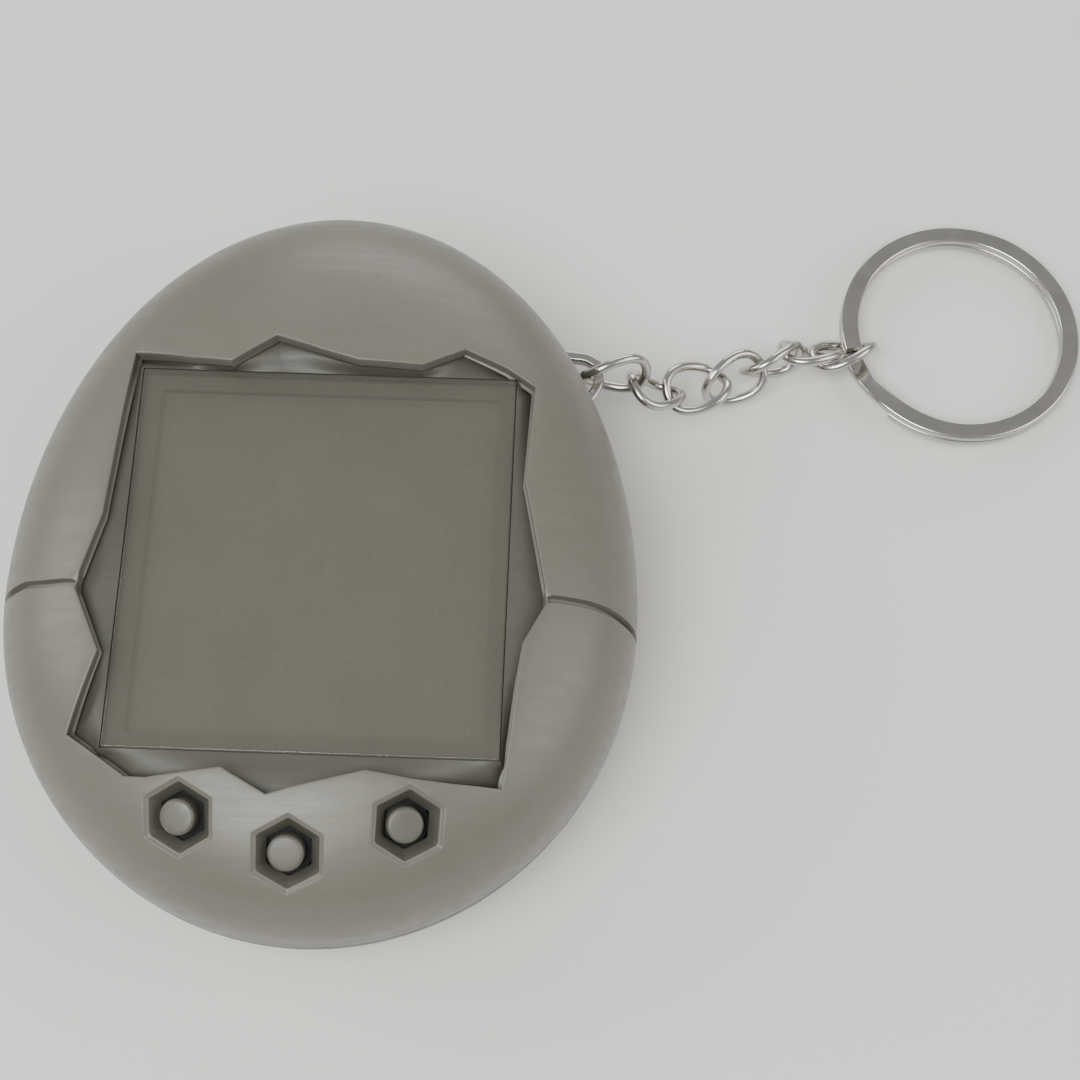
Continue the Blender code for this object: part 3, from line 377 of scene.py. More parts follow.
# ---------------- mesh helpers


def linked(name, data):
    made = bpy.data.objects.new(name, data)
    bpy.context.scene.collection.objects.link(made)
    return made


def meshed(name, bm):
    """A linked mesh object with its faces turned outwards."""
    bmesh.ops.recalc_face_normals(bm, faces=bm.faces)
    mesh = bpy.data.meshes.new(name)
    bm.to_mesh(mesh)
    bm.free()
    return linked(name, mesh)


def new_piece(name, bm, material, body, sharp=None, replaces=None):
    """Turns a bmesh in millimetres into a piece on a body. It stands for the CAD node of its name."""
    bmesh.ops.scale(bm, vec=(MM, MM, MM), verts=bm.verts)
    piece = meshed(name, bm)
    mesh = piece.data
    mesh.shade_smooth()
    if sharp is not None:
        mesh.set_sharp_from_angle(angle=math.radians(sharp))
    mesh.materials.append(material)
    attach(piece, body)
    if replaces is None:
        replaces = (name,)
    if replaces:
        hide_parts(*replaces)
    return piece


def strip(bm, rows, look=0):
    """Skins closed rows of vertices of equal counts, in one of the piece's materials."""
    for lower, upper in zip(rows, rows[1:]):
        count = len(lower)
        for i in range(count):
            j = (i + 1) % count
            bm.faces.new((lower[i], lower[j], upper[j], upper[i])).material_index = look


def add_row(bm, points):
    return [bm.verts.new(point) for point in points]


def loft(rings, closed=False):
    """Skins rings of points: joined end to end, or with a cap on each end."""
    bm = bmesh.new()
    rows = [add_row(bm, ring) for ring in rings]
    strip(bm, rows + rows[:1] if closed else rows)
    if not closed:
        bm.faces.new(list(reversed(rows[0])))
        bm.faces.new(rows[-1])
    return bm


def turned(profile, sides, centre=(0.0, 0.0)):
    """Turns (radius, z) pairs about a vertical line."""
    return loft([level(circle(centre, radius, sides), z) for radius, z in profile])


def add_turned(bm, profile, sides, centre=(0.0, 0.0)):
    """Adds the open skin of a turned profile and returns its rows."""
    rows = [add_row(bm, level(circle(centre, radius, sides), z)) for radius, z in profile]
    strip(bm, rows)
    return rows


def along_axis(bm, point, direction):
    turn = Vector((0.0, 0.0, 1.0)).rotation_difference(direction).to_matrix().to_4x4()
    bmesh.ops.transform(bm, matrix=Matrix.Translation(point) @ turn, verts=bm.verts)
    return bm


def fill_between(bm, loops):
    """Fills the flat area between an outer loop and the loops inside it."""
    points = []
    edges = []
    verts = []
    for loop in loops:
        first = len(points)
        points.extend(Vector((v.co.x, v.co.y)) for v in loop)
        edges.extend((first + i, first + (i + 1) % len(loop)) for i in range(len(loop)))
        verts.extend(loop)
    result = geometry.delaunay_2d_cdt(points, edges, [], 1, 1e-7)
    holes = [[(v.co.x, v.co.y) for v in loop] for loop in loops[1:]]
    for face in result[2]:
        x = sum(result[0][i].x for i in face) / 3
        y = sum(result[0][i].y for i in face) / 3
        if not any(inside(hole, x, y) for hole in holes):
            bm.faces.new([verts[result[3][i][0]] for i in face])


# ---------------- shells


class Hole:
    """A cut in a dome: its mouth, the rows of points that lead down from it, the row where the second
    material, a darker grey that paints shade, starts, and what closes it if it is blind."""

    def __init__(self, mouth, rows, painted_shade_from=None, close=None):
        self.mouth = mouth
        self.rows = rows
        self.painted_shade_from = painted_shade_from
        self.close = close


def lip_rows(dome, outline, rounding, depths, step=None):
    """Mouth and rows for a cut with vertical walls and a rounded lip, its sides divided by the step."""

    def ring(distance):
        moved = offset_outline(outline, distance) if distance else list(outline)
        return divided(moved, outline, step) if step else moved

    angles = [math.pi / 8.0 * k for k in range(1, 5)]
    levels = [(rounding * (1.0 - math.sin(a)), rounding * (1.0 - math.cos(a))) for a in angles]
    levels += [(0.0, depth) for depth in depths]
    rows = []
    for distance, depth in levels:
        drop = Vector((0.0, 0.0, dome.side * depth))
        rows.append([dome.grooved(x, y) - drop for x, y in ring(distance)])
    return Hole(ring(rounding), rows)


def onto_dome(dome, point, direction):
    """Slides a point along a direction until it lies on the dome."""
    low, high = -3.0, 3.0
    for _ in range(40):
        middle = (low + high) / 2.0
        test = point + direction * middle
        if (test.z - dome.height(test.x, test.y)) * dome.side > 0.0:
            high = middle
        else:
            low = middle
    return point + direction * low


def hexagon(radius, rounding):
    return rounded_outline(circle((0.0, 0.0), radius, 6, math.pi / 2.0), rounding, 3)


def well_hole(x, y):
    """A stepped hexagonal well; its lower half turns from following the dome to lying level with the key.
    From the funnel's top down it takes the darker panel grey, which paints the shade in the well.
    """
    centre = FRONT.at(x, y)
    normal = FRONT.normal(x, y)
    turn = Vector((0.0, 0.0, 1.0)).rotation_difference(normal).to_matrix()
    steps = [
        (WELL_RADIUS + 0.17, 0.0), (WELL_RADIUS + 0.11, -0.002), (WELL_RADIUS + 0.07, -0.02),
        (WELL_RADIUS - 0.08, -0.14), (WELL_RADIUS - 0.12, -0.17), (WELL_RADIUS - 0.17, -0.19),
        (WELL_RADIUS - 0.22, -0.21), (WELL_RADIUS - 0.26, -0.26), (1.67, -0.98), (1.64, -1.04),
        (1.63, -1.1), (1.63, -1.2),
    ]
    rows = []
    for radius, depth in steps:
        row = []
        share = 0.5 * smooth((-depth - 0.3) / 0.5)
        for a, b in divided(hexagon(radius, WELL_CORNER), hexagon(WELL_RADIUS, WELL_CORNER), 0.45):
            point = centre + turn @ Vector((a, b, 0.0))
            drop = normal * depth
            row.append((onto_dome(FRONT, point, normal) + drop).lerp(point + drop, share))
        rows.append(row)
    # Rows from the funnel's top down take the second material, as painted shade in the well.
    return Hole([(p.x, p.y) for p in rows[0]], rows[1:], painted_shade_from=7)


def rim_angles(dome):
    """Chart angles round the rim, with close ones where the groove reaches it."""
    angles = [math.tau * i / RIM_STEPS for i in range(RIM_STEPS)]
    if dome.side > 0:
        for side in (1.0, -1.0):
            middle = groove_line(side * HALF_WIDTH)
            for offset in GROOVE_ROWS:
                y = middle + offset
                across = math.sqrt(max(1.0 - ((y - EGG_CENTRE_Y) / plan_length(y)) ** 2, 0.0)) * side
                angles.append(math.atan2((y - EGG_CENTRE_Y) / plan_length(y), across) % math.tau)
    kept = []
    for angle in sorted(angles):
        if not kept or angle - kept[-1] > 0.0012:
            kept.append(angle)
    return kept


GROOVE_START = 15.65
GROOVE_COLUMNS = 34
GROOVE_ROWS = (-0.42, -0.31, -0.27, -0.235, -0.2, -0.165, -0.06, 0.06, 0.165, 0.2, 0.235, 0.27, 0.31, 0.42)


def shell_points(dome, holes, rings):
    """Loose chart points, the loops that bound the surface and the groove's rows."""
    points = []
    edges = []

    def add_loop(loop, closed=True):
        first = len(points)
        points.extend(loop)
        count = len(loop)
        for i in range(count if closed else count - 1):
            edges.append((first + i, first + (i + 1) % count))
        return list(range(first, first + count))

    angles = rim_angles(dome)
    rim = add_loop([polar(dome.edge, angle) for angle in angles])
    mouths = [add_loop([dome.chart(x, y) for x, y in hole.mouth]) for hole in holes]
    if dome.side > 0:
        for side in (1.0, -1.0):
            for offset in GROOVE_ROWS:
                row = []
                for k in range(GROOVE_COLUMNS):
                    share = math.sin(math.pi / 2 * k / GROOVE_COLUMNS)
                    reach = GROOVE_START + (HALF_WIDTH - 0.004 - GROOVE_START) * share
                    y = groove_line(side * reach) + offset
                    if plan_ratio(reach, y) < 0.9997:
                        row.append(dome.chart(side * reach, y))
                add_loop(row, closed=False)
    for k in range(1, rings):
        radius = dome.edge * k / rings
        count = max(8, int(RIM_STEPS * radius))
        for i in range(count):
            angle = math.tau * (i + 0.5 * (k % 2)) / count
            x, y = dome.plan(radius, angle)
            near_hole = any(inside(hole.mouth, x, y) or gap_to(hole.mouth, x, y) < 0.35 for hole in holes)
            near_groove = dome.side > 0 and abs(x) > 15.0 and abs(y - groove_line(x)) < 0.7
            if not near_hole and not near_groove:
                points.append(polar(radius, angle))
    return points, edges, rim, mouths


def unchart(dome, u, v):
    radius = min(math.hypot(u, v), 1.0)
    return dome.plan(radius, math.atan2(v, u))


def build_shell(name, dome, holes, rings, wall, rim_z, material, cutter=None):
    """A closed shell: outer dome, inner dome, and the walls of every cut between them."""
    points, edges, rim, mouths = shell_points(dome, holes, rings)
    result = geometry.delaunay_2d_cdt([Vector(p) for p in points], edges, [], 1, 1e-7)
    places, _, faces, origins = result[:4]
    mouth_charts = [[points[i] for i in mouth] for mouth in mouths]
    bm = bmesh.new()
    outer = []
    inner = []
    for place in places:
        x, y = unchart(dome, place.x, place.y)
        outer.append(bm.verts.new(dome.grooved(x, y)))
        inner.append(bm.verts.new(dome.at(x, y) - dome.normal(x, y) * wall))
    for face in faces:
        u = sum(places[i].x for i in face) / len(face)
        v = sum(places[i].y for i in face) / len(face)
        if any(inside(mouth, u, v) for mouth in mouth_charts):
            continue
        bm.faces.new([outer[i] for i in face])
        bm.faces.new([inner[i] for i in reversed(face)])
    found = {}
    for index, sources in enumerate(origins):
        for source in sources:
            found[source] = index
    for hole, mouth in zip(holes, mouths):
        rows = [[outer[found[i]] for i in mouth]]
        rows += [add_row(bm, row) for row in hole.rows]
        skin = [inner[found[i]] for i in mouth]
        if hole.close:
            strip(bm, rows)
            hole.close(bm, rows[-1], skin)
            continue
        rows.append(skin)
        # Rows from the marked one down take the second material, the darker grey that paints shade.
        painted_shade_row = hole.painted_shade_from or len(rows) - 1
        strip(bm, rows[:painted_shade_row + 1])
        strip(bm, rows[painted_shade_row:], 1)
    outer_rim = [outer[found[i]] for i in rim]
    rows = [outer_rim]
    for drop, shrink in ((RIM_LIP, 0.0), (0.3 * RIM_LIP, 0.3 * RIM_LIP), (0.0, RIM_LIP), (0.0, wall)):
        if dome.side < 0 and shrink == 0.0:
            continue
        level = rim_z + dome.side * drop
        rows.append(add_row(bm, [rim_point(vert.co, level, shrink) for vert in outer_rim]))
    rows.append([inner[found[i]] for i in rim])
    strip(bm, rows)
    bmesh.ops.delete(bm, geom=[v for v in bm.verts if not v.link_faces], context="VERTS")
    if cutter:
        bm = carve(bm, cutter)
    return new_piece(name, bm, material, "case", SHARP)


def rim_point(place, z, shrink):
    """The point of the case's side at height z that stands in line with a place on the rim."""
    scale = side_ratio(z) / plan_ratio(place.x, place.y)
    point = Vector((place.x * scale, EGG_CENTRE_Y + (place.y - EGG_CENTRE_Y) * scale, z))
    return point - outwards(place.x, place.y) * shrink


# ---------------- materials


class Nodes:
    """Short names for the shader nodes that the materials are built from."""

    def __init__(self, name, colour, roughness, metallic=0.0):
        self.material = bpy.data.materials.new(name)
        self.material.use_nodes = True
        self.tree = self.material.node_tree
        self.shader = self.tree.nodes["Principled BSDF"]
        self.set("Base Color", (*colour, 1.0))
        self.set("Roughness", roughness)
        self.set("Metallic", metallic)
        self.place = self.new("ShaderNodeTexCoord").outputs["Object"]

    def new(self, kind, **settings):
        node = self.tree.nodes.new(kind)
        for key, value in settings.items():
            setattr(node, key, value)
        return node

    def set(self, socket, value):
        self.shader.inputs[socket].default_value = value

    def link(self, source, target):
        self.tree.links.new(source, target)

    def feed(self, socket, source):
        self.link(source, self.shader.inputs[socket])

    def rough(self, source, low, high, smoothest, roughest):
        self.feed("Roughness", self.spread(source, low, high, smoothest, roughest))

    def mix(self, source, low, high, first, second, most=1.0):
        """First colour to second as the source goes from low to high."""
        return self.blend(self.spread(source, low, high, 0.0, most), first, second)

    def stretched(self, scale):
        node = self.new("ShaderNodeMapping")
        node.inputs["Scale"].default_value = scale
        self.link(self.place, node.inputs["Vector"])
        return node.outputs["Vector"]

    def noise(self, scale, detail=4.0, roughness=0.55, vector=None):
        node = self.new("ShaderNodeTexNoise")
        node.inputs["Scale"].default_value = scale
        node.inputs["Detail"].default_value = detail
        node.inputs["Roughness"].default_value = roughness
        self.link(vector or self.place, node.inputs["Vector"])
        return node.outputs["Fac"]

    def cells(self, scale, feature="F1", vector=None, output="Distance"):
        node = self.new("ShaderNodeTexVoronoi", feature=feature)
        node.inputs["Scale"].default_value = scale
        self.link(vector or self.place, node.inputs["Vector"])
        return node.outputs[output]

    def spread(self, source, low, high, to_low, to_high):
        node = self.new("ShaderNodeMapRange", clamp=True)
        self.link(source, node.inputs["Value"])
        for key, value in (("From Min", low), ("From Max", high), ("To Min", to_low), ("To Max", to_high)):
            node.inputs[key].default_value = value
        return node.outputs["Result"]

    def maths(self, operation, first, second):
        node = self.new("ShaderNodeMath", operation=operation)
        for index, value in enumerate((first, second)):
            if isinstance(value, (int, float)):
                node.inputs[index].default_value = value
            else:
                self.link(value, node.inputs[index])
        return node.outputs["Value"]

    def blend(self, share, first, second):
        node = self.new("ShaderNodeMix", data_type="RGBA")
        self.link(share, node.inputs["Factor"])
        for socket, value in (("A", first), ("B", second)):
            target = [s for s in node.inputs if s.name == socket and s.type == "RGBA"][0]
            if isinstance(value, tuple):
                target.default_value = (*value, 1.0)
            else:
                self.link(value, target)
        return [s for s in node.outputs if s.type == "RGBA"][0]

    def edges(self, low=0.52, high=0.62):
        """1 on worn outer edges, 0 elsewhere."""
        geometry_node = self.new("ShaderNodeNewGeometry")
        return self.spread(geometry_node.outputs["Pointiness"], low, high, 0.0, 1.0)

    def bump(self, height, distance, strength=1.0, before=None):
        node = self.new("ShaderNodeBump")
        node.inputs["Strength"].default_value = strength
        node.inputs["Distance"].default_value = distance
        self.link(height, node.inputs["Height"])
        if before is not None:
            self.link(before, node.inputs["Normal"])
        self.feed("Normal", node.outputs["Normal"])
        return node.outputs["Normal"]


def scaled(colour, share):
    return tuple(min(c * share, 1.0) for c in colour)


def moulded_plastic(name, colour, roughness, grain=0.000012, wear=0.25, gloss=0.5):
    """Satin injection moulding: fine spark texture, slow shade drift, hairline scuffs, rubbed edges."""
    n = Nodes(name, colour, roughness)
    drift = n.noise(90.0, 3.0)
    specks = n.noise(2600.0, 2.0, 0.6)
    base = n.mix(drift, 0.3, 0.7, scaled(colour, 0.93), scaled(colour, 1.07))
    base = n.mix(specks, 0.35, 0.65, base, scaled(colour, 1.12), 0.35)
    rub = n.maths("MULTIPLY", n.edges(), n.spread(n.noise(900.0), 0.35, 0.65, 0.2, 1.0))
    n.feed("Base Color", n.blend(n.maths("MULTIPLY", rub, wear), base, scaled(colour, 1.7)))
    scuffs = n.noise(160.0, 6.0, 0.7, n.stretched((1.0, 9.0, 3.0)))
    rough = n.spread(scuffs, 0.35, 0.7, roughness - 0.07, roughness + 0.09)
    n.feed("Roughness", n.maths("SUBTRACT", rough, n.maths("MULTIPLY", rub, 0.12)))
    first = n.bump(n.noise(4200.0, 3.0, 0.65), grain, 0.55)
    n.bump(scuffs, 0.00001, 0.25, first)
    n.set("Specular IOR Level", gloss)
    return n.material


def plated_metal(name, colour, roughness=0.16):
    """Bright nickel over drawn wire: draw lines, faint pits and handling haze."""
    n = Nodes(name, colour, roughness, 1.0)
    n.feed("Base Color", n.mix(n.noise(420.0, 4.0), 0.3, 0.75, colour, scaled(colour, 0.84)))
    scratches = n.noise(700.0, 8.0, 0.75, n.stretched((1.0, 1.0, 14.0)))
    n.rough(scratches, 0.3, 0.75, roughness - 0.05, roughness + 0.14)
    first = n.bump(n.spread(n.cells(2400.0), 0.0, 0.14, 0.0, 1.0), 0.000004, 0.35)
    n.bump(scratches, 0.000006, 0.3, first)
    return n.material


def rolled_metal(name, colour, roughness=0.3):
    """Sheet metal with a rolled grain along one way."""
    n = Nodes(name, colour, roughness, 1.0)
    grain = n.noise(500.0, 6.0, 0.7, n.stretched((1.0, 18.0, 1.0)))
    n.feed("Base Color", n.mix(grain, 0.35, 0.65, scaled(colour, 0.85), colour))
    n.rough(grain, 0.3, 0.7, roughness - 0.06, roughness + 0.12)
    n.bump(grain, 0.000008, 0.4)
    return n.material


def soft_rubber(name, colour, roughness=0.62):
    """Silicone with fine dust and a soft sheen."""
    n = Nodes(name, colour, roughness)
    dust = n.noise(1500.0, 5.0, 0.7)
    n.feed("Base Color", n.mix(dust, 0.5, 0.75, colour, scaled(colour, 1.35), 0.5))
    n.rough(dust, 0.3, 0.7, roughness - 0.08, roughness + 0.1)
    n.bump(n.noise(3000.0, 3.0), 0.00001, 0.4)
    n.set("Sheen Weight", 0.15)
    return n.material


def hard_gloss(name, colour, roughness):
    """Glazed or resin surface with slow ripples and small specks."""
    n = Nodes(name, colour, roughness)
    ripple = n.noise(300.0, 2.0)
    specks = n.spread(n.cells(1800.0), 0.0, 0.25, 0.5, 0.0)
    n.feed("Base Color", n.blend(specks, scaled(colour, 0.95), scaled(colour, 1.3)))
    n.rough(ripple, 0.3, 0.7, roughness - 0.05, roughness + 0.08)
    n.bump(ripple, 0.00003, 0.3)
    return n.material


def board_laminate(name):
    """Green solder mask over a weave, with brighter traces."""
    n = Nodes(name, (0.02, 0.1, 0.045), 0.35)
    weave = n.new("ShaderNodeTexWave", wave_type="BANDS", bands_direction="DIAGONAL")
    weave.inputs["Scale"].default_value = 700.0
    n.link(n.place, weave.inputs["Vector"])
    tracks = n.cells(420.0, "DISTANCE_TO_EDGE", n.stretched((1.0, 1.0, 0.02)))
    lines = n.spread(tracks, 0.03, 0.06, 1.0, 0.0)
    n.feed("Base Color", n.blend(lines, (0.018, 0.085, 0.04), (0.05, 0.2, 0.09)))
    n.rough(n.noise(900.0), 0.3, 0.7, 0.28, 0.42)
    first = n.bump(lines, 0.00002, 0.6)
    n.bump(weave.outputs["Fac"], 0.000006, 0.3, first)
    return n.material


DOT_PITCH = 0.00062
SHELL_GREY = (0.124, 0.122, 0.098)
LENS_GREY = (0.142, 0.141, 0.114)
SHELL = moulded_plastic("shell_plastic_look", SHELL_GREY, 0.38)
BACK_LOOK = moulded_plastic("back_plastic_look", scaled(SHELL_GREY, 0.96), 0.42, 0.000016)
# The shell's grey at about half, as painted shade for the recessed window panel and the key wells' funnels.
PAINTED_SHADE_PANEL = moulded_plastic("panel_plastic_painted_shade_look", scaled(SHELL_GREY, 0.52), 0.5, 0.000025, 0.1)
# The shell's grey darkened to three quarters to offset the light on the keys' upturned tops: painted shade.
PAINTED_SHADE_CAP = moulded_plastic("button_plastic_painted_shade_look", scaled(SHELL_GREY, 0.76), 0.36, 0.000008)
NICKEL = plated_metal("nickel_look", (0.53, 0.52, 0.48))
STEEL = plated_metal("screw_steel_look", (0.5, 0.49, 0.47), 0.24)
BRASS = rolled_metal("brass_look", (0.72, 0.53, 0.24))
CELL = rolled_metal("cell_steel_look", (0.6, 0.6, 0.6), 0.24)
FOIL = rolled_metal("foil_look", (0.62, 0.64, 0.57), 0.32)
RUBBER = soft_rubber("silicone_look", (0.42, 0.42, 0.4))
CARBON = soft_rubber("carbon_look", (0.02, 0.02, 0.02), 0.7)
HOLDER = moulded_plastic("holder_plastic_look", (0.03, 0.03, 0.03), 0.5)
# Near-black, low-gloss skirt under each key: its colour is painted shade in the gap round the cap.
PAINTED_SHADE_SKIRT = moulded_plastic("key_skirt_painted_shade_look", (0.01, 0.01, 0.01), 0.6, wear=0.0, gloss=0.15)
EPOXY = hard_gloss("epoxy_look", (0.012, 0.012, 0.013), 0.25)
CERAMIC = hard_gloss("ceramic_look", (0.42, 0.33, 0.22), 0.4)
LAMINATE = board_laminate("laminate_look")
RED = soft_rubber("red_sleeve_look", (0.35, 0.015, 0.012), 0.4)
BLACK = soft_rubber("black_sleeve_look", (0.015, 0.015, 0.015), 0.4)


def display_look():
    """Grey-olive passive display: a faint grid of square dots over a pale ground."""
    n = Nodes("display_look", (0.2, 0.21, 0.155), 0.22)
    grid = n.new("ShaderNodeTexBrick", offset=0.0, squash=1.0)
    n.link(n.place, grid.inputs["Vector"])
    settings = {
        "Scale": 1.0, "Brick Width": DOT_PITCH, "Row Height": DOT_PITCH, "Mortar Size": 0.1 * DOT_PITCH,
        "Mortar Smooth": 0.4, "Color1": (0.17, 0.172, 0.133, 1.0), "Color2": (0.178, 0.18, 0.139, 1.0),
        "Mortar": (0.2, 0.203, 0.16, 1.0),
    }
    for socket, value in settings.items():
        grid.inputs[socket].default_value = value
    cloud = n.spread(n.noise(60.0, 2.0), 0.3, 0.7, 0.0, 0.3)
    n.feed("Base Color", n.blend(cloud, grid.outputs["Color"], (0.168, 0.172, 0.13)))
    n.rough(n.noise(600.0), 0.3, 0.7, 0.16, 0.3)
    n.set("Coat Weight", 0.4)
    return n.material


def lens_look():
    """Smoke-tinted acrylic with fine wipe marks."""
    n = Nodes("lens_look", LENS_GREY, 0.06)
    wipes = n.noise(240.0, 8.0, 0.75, n.stretched((1.0, 12.0, 1.0)))
    n.rough(wipes, 0.4, 0.75, 0.07, 0.15)
    n.feed("Base Color", n.mix(n.noise(200.0), 0.3, 0.7, scaled(LENS_GREY, 0.96), scaled(LENS_GREY, 1.04)))
    n.set("Alpha", 0.4)
    n.set("IOR", 1.49)
    return n.material


def border_look():
    """Ink printed under the lens border: satin, a little mottled."""
    n = Nodes("lens_border_look", scaled(LENS_GREY, 0.62), 0.42)
    mottle = n.noise(1200.0, 4.0)
    n.feed("Base Color", n.mix(mottle, 0.35, 0.65, scaled(LENS_GREY, 0.58), scaled(LENS_GREY, 0.66)))
    n.rough(mottle, 0.3, 0.7, 0.36, 0.48)
    n.bump(mottle, 0.00001, 0.3)
    return n.material


DISPLAY = display_look()
LENS = lens_look()
BORDER = border_look()


# ---------------- case pieces


def door_outline(grow, steps=90):
    """Round door with a rounded tab for its screw, clockwise."""
    radius = DOOR_RADIUS + grow
    tab = DOOR_TAB_RADIUS + grow
    half = math.asin(tab / radius)
    points = []
    for i in range(steps + 1):
        angle = -math.pi / 2.0 + half + (math.tau - 2.0 * half) * i / steps
        points.append(polar(radius, angle))
    for i in range(17):
        x, y = polar(tab, math.pi + math.pi * i / 16)
        points.append((x, DOOR_TAB_Y + y))
    return points[::-1]


def carve(bm, cutter):
    """Cuts one bmesh out of another."""
    made = carved, carver = [meshed("carved", bm), meshed("carver", cutter)]
    modifier = carved.modifiers.new("carve", "BOOLEAN")
    modifier.operation = "DIFFERENCE"
    modifier.solver = "EXACT"
    modifier.object = carver
    evaluated = carved.evaluated_get(bpy.context.evaluated_depsgraph_get())
    result = bmesh.new()
    result.from_mesh(evaluated.to_mesh())
    evaluated.to_mesh_clear()
    for obj in made:
        mesh = obj.data
        bpy.data.objects.remove(obj)
        bpy.data.meshes.remove(mesh)
    return result


def lug_slot():
    """Room for the lug's strap in the rear shell's rim."""
    outer = offset_outline(LUG_LINE, LUG_BAND / 2.0 + LUG_ROOM)
    inner = offset_outline(LUG_LINE, -LUG_BAND / 2.0 - LUG_ROOM)
    low = LUG_Z - LUG_THICK / 2.0 - 0.15
    corners = ((inner, low), (outer, low), (outer, PART_Z), (inner, PART_Z))
    return loft([level(line, z) for line, z in corners], closed=True)


def make_front_shell():
    holes = [lip_rows(FRONT, WINDOW_OUTLINE, 0.14, (0.45, 0.7, 0.95), 0.6)]
    holes += [well_hole(x, y) for x, y in BUTTONS.values()]
    shell = build_shell("front_shell", FRONT, holes, 46, FRONT_WALL, PART_Z, SHELL)
    # Second material: the panel's darker grey, painted shade on the key wells' funnels.
    shell.data.materials.append(PAINTED_SHADE_PANEL)


def bore_hole(x, y):
    """Screw hole in a post: wide for the head, narrow for the shank."""
    hole = lip_rows(BACK, circle((x, y), BORE_RADIUS, 40), 0.12, (0.3,))
    foot_z = min(BACK.height(x, y) + BACK_WALL + 1.4, 7.0)
    steps = [(BORE_RADIUS, SHOULDER_Z), (SHANK_BORE_RADIUS, SHOULDER_Z), (SHANK_BORE_RADIUS, POST_TOP_Z),
             (POST_RADIUS, POST_TOP_Z), (POST_RADIUS, foot_z)]
    hole.rows += [level(circle((x, y), radius, 40), z) for radius, z in steps]
    return hole


def reset_hole():
    """Hole for the reset plunger, with a seat behind it for the plunger's collar."""
    hole = lip_rows(BACK, circle(RESET_XY, RESET_RADIUS, 32), 0.1, (0.3,))
    hole.rows.insert(0, [BACK.at(x, y) for x, y in hole.mouth])
    hole.mouth = circle(RESET_XY, 2.3, 32)
    hole.rows += [level(circle(RESET_XY, radius, 32), RESET_SEAT_Z) for radius in (RESET_RADIUS, 1.9)]
    return hole


def slot_outline(x, y, width, length, steps=8):
    """An upright slot with round ends, clockwise."""
    points = []
    radius = width / 2.0
    for middle, first in ((y + length / 2.0 - radius, math.pi), (y - length / 2.0 + radius, 0.0)):
        for i in range(steps + 1):
            angle = first - math.pi * i / steps
            points.append((x + radius * math.cos(angle), middle + radius * math.sin(angle)))
    return points


def close_pocket(bm, ledge, skin):
    """Battery pocket and screw bore behind the door's recess."""
    pocket = [(POCKET_RADIUS, RECESS_Z), (POCKET_RADIUS, POCKET_TOP_Z)]
    bore = [(SHANK_BORE_RADIUS, RECESS_Z), (SHANK_BORE_RADIUS, 5.2)]
    mouths = [ledge]
    for profile, centre, sides in ((pocket, (0.0, 0.0), 120), (bore, (0.0, DOOR_TAB_Y), 32)):
        rows = add_turned(bm, profile, sides, centre)
        bm.faces.new(rows[-1])
        mouths.append(rows[0])
    fill_between(bm, mouths)
    roof = add_row(bm, [(vert.co.x, vert.co.y, POCKET_TOP_Z + 0.9) for vert in skin])
    strip(bm, [skin, roof])
    fill_between(bm, [roof])


def make_rear_shell():
    outline = door_outline(DOOR_CLEARANCE)
    door = lip_rows(BACK, outline, 0.14, (0.4,))
    door.rows.append(level(outline, RECESS_Z))
    door.close = close_pocket
    holes = [door, *(bore_hole(x, y) for x, y in POSTS), reset_hole()]
    for index in range(5):
        spread = index - 2
        outline = slot_outline(spread * SLOT_PITCH, BUZZER_Y, SLOT_WIDTH, SLOT_LENGTH - abs(spread))
        holes.append(lip_rows(BACK, outline, 0.08, (0.3, 1.0), 0.6))
    build_shell("rear_shell", BACK, holes, 40, BACK_WALL, BACK_TOP_Z, BACK_LOOK, lug_slot())


make_front_shell()
make_rear_shell()


def make_door():
    outline = door_outline(0.0)
    rows = [level(offset_outline(outline, -DOOR_LIP - 0.12), 0.0)]
    for turn in (0.0, 0.3, 0.6, 1.0):
        angle = math.pi / 2.0 * turn
        inset = DOOR_LIP * (1.0 - math.sin(angle))
        rows.append(level(offset_outline(outline, -inset), DOOR_LIP * (1.0 - math.cos(angle))))
    rows.append(level(outline, DOOR_THICK))
    bm = bmesh.new()
    made = [add_row(bm, row) for row in rows]
    strip(bm, made)
    sink = [(BORE_RADIUS + 0.33, 0.0), (BORE_RADIUS + 0.2, 0.0), (BORE_RADIUS + 0.1, 0.0),
            (BORE_RADIUS + 0.03, 0.03), (BORE_RADIUS, 0.1), (BORE_RADIUS, 0.75),
            (SHANK_BORE_RADIUS + 0.05, 0.75), (SHANK_BORE_RADIUS + 0.05, DOOR_THICK)]
    holes = add_turned(bm, sink, 40, (0.0, DOOR_TAB_Y))
    groove = [(8.85, 0.0), (8.7, 0.0), (8.6, 0.0), (8.55, 0.05), (8.5, 0.14), (8.2, 0.14), (8.15, 0.05),
              (8.1, 0.0), (8.02, 0.0), (7.95, 0.0)]
    rings = add_turned(bm, groove, 120)
    finger = [(3.26, 0.0), (3.19, 0.0), (3.1, 0.0), (3.0, 0.04), (2.6, 0.32), (1.6, 0.48), (0.5, 0.52)]
    dish = add_turned(bm, finger, 60, (0.0, FINGER_DISH_Y))
    bm.faces.new(dish[-1])
    fill_between(bm, [made[0], holes[0], rings[0]])
    fill_between(bm, [rings[-1], dish[0]])
    fill_between(bm, [made[-1], holes[-1]])
    new_piece("battery_door", bm, BACK_LOOK, "door", SHARP)


make_door()


# ---------------- window panel and screen


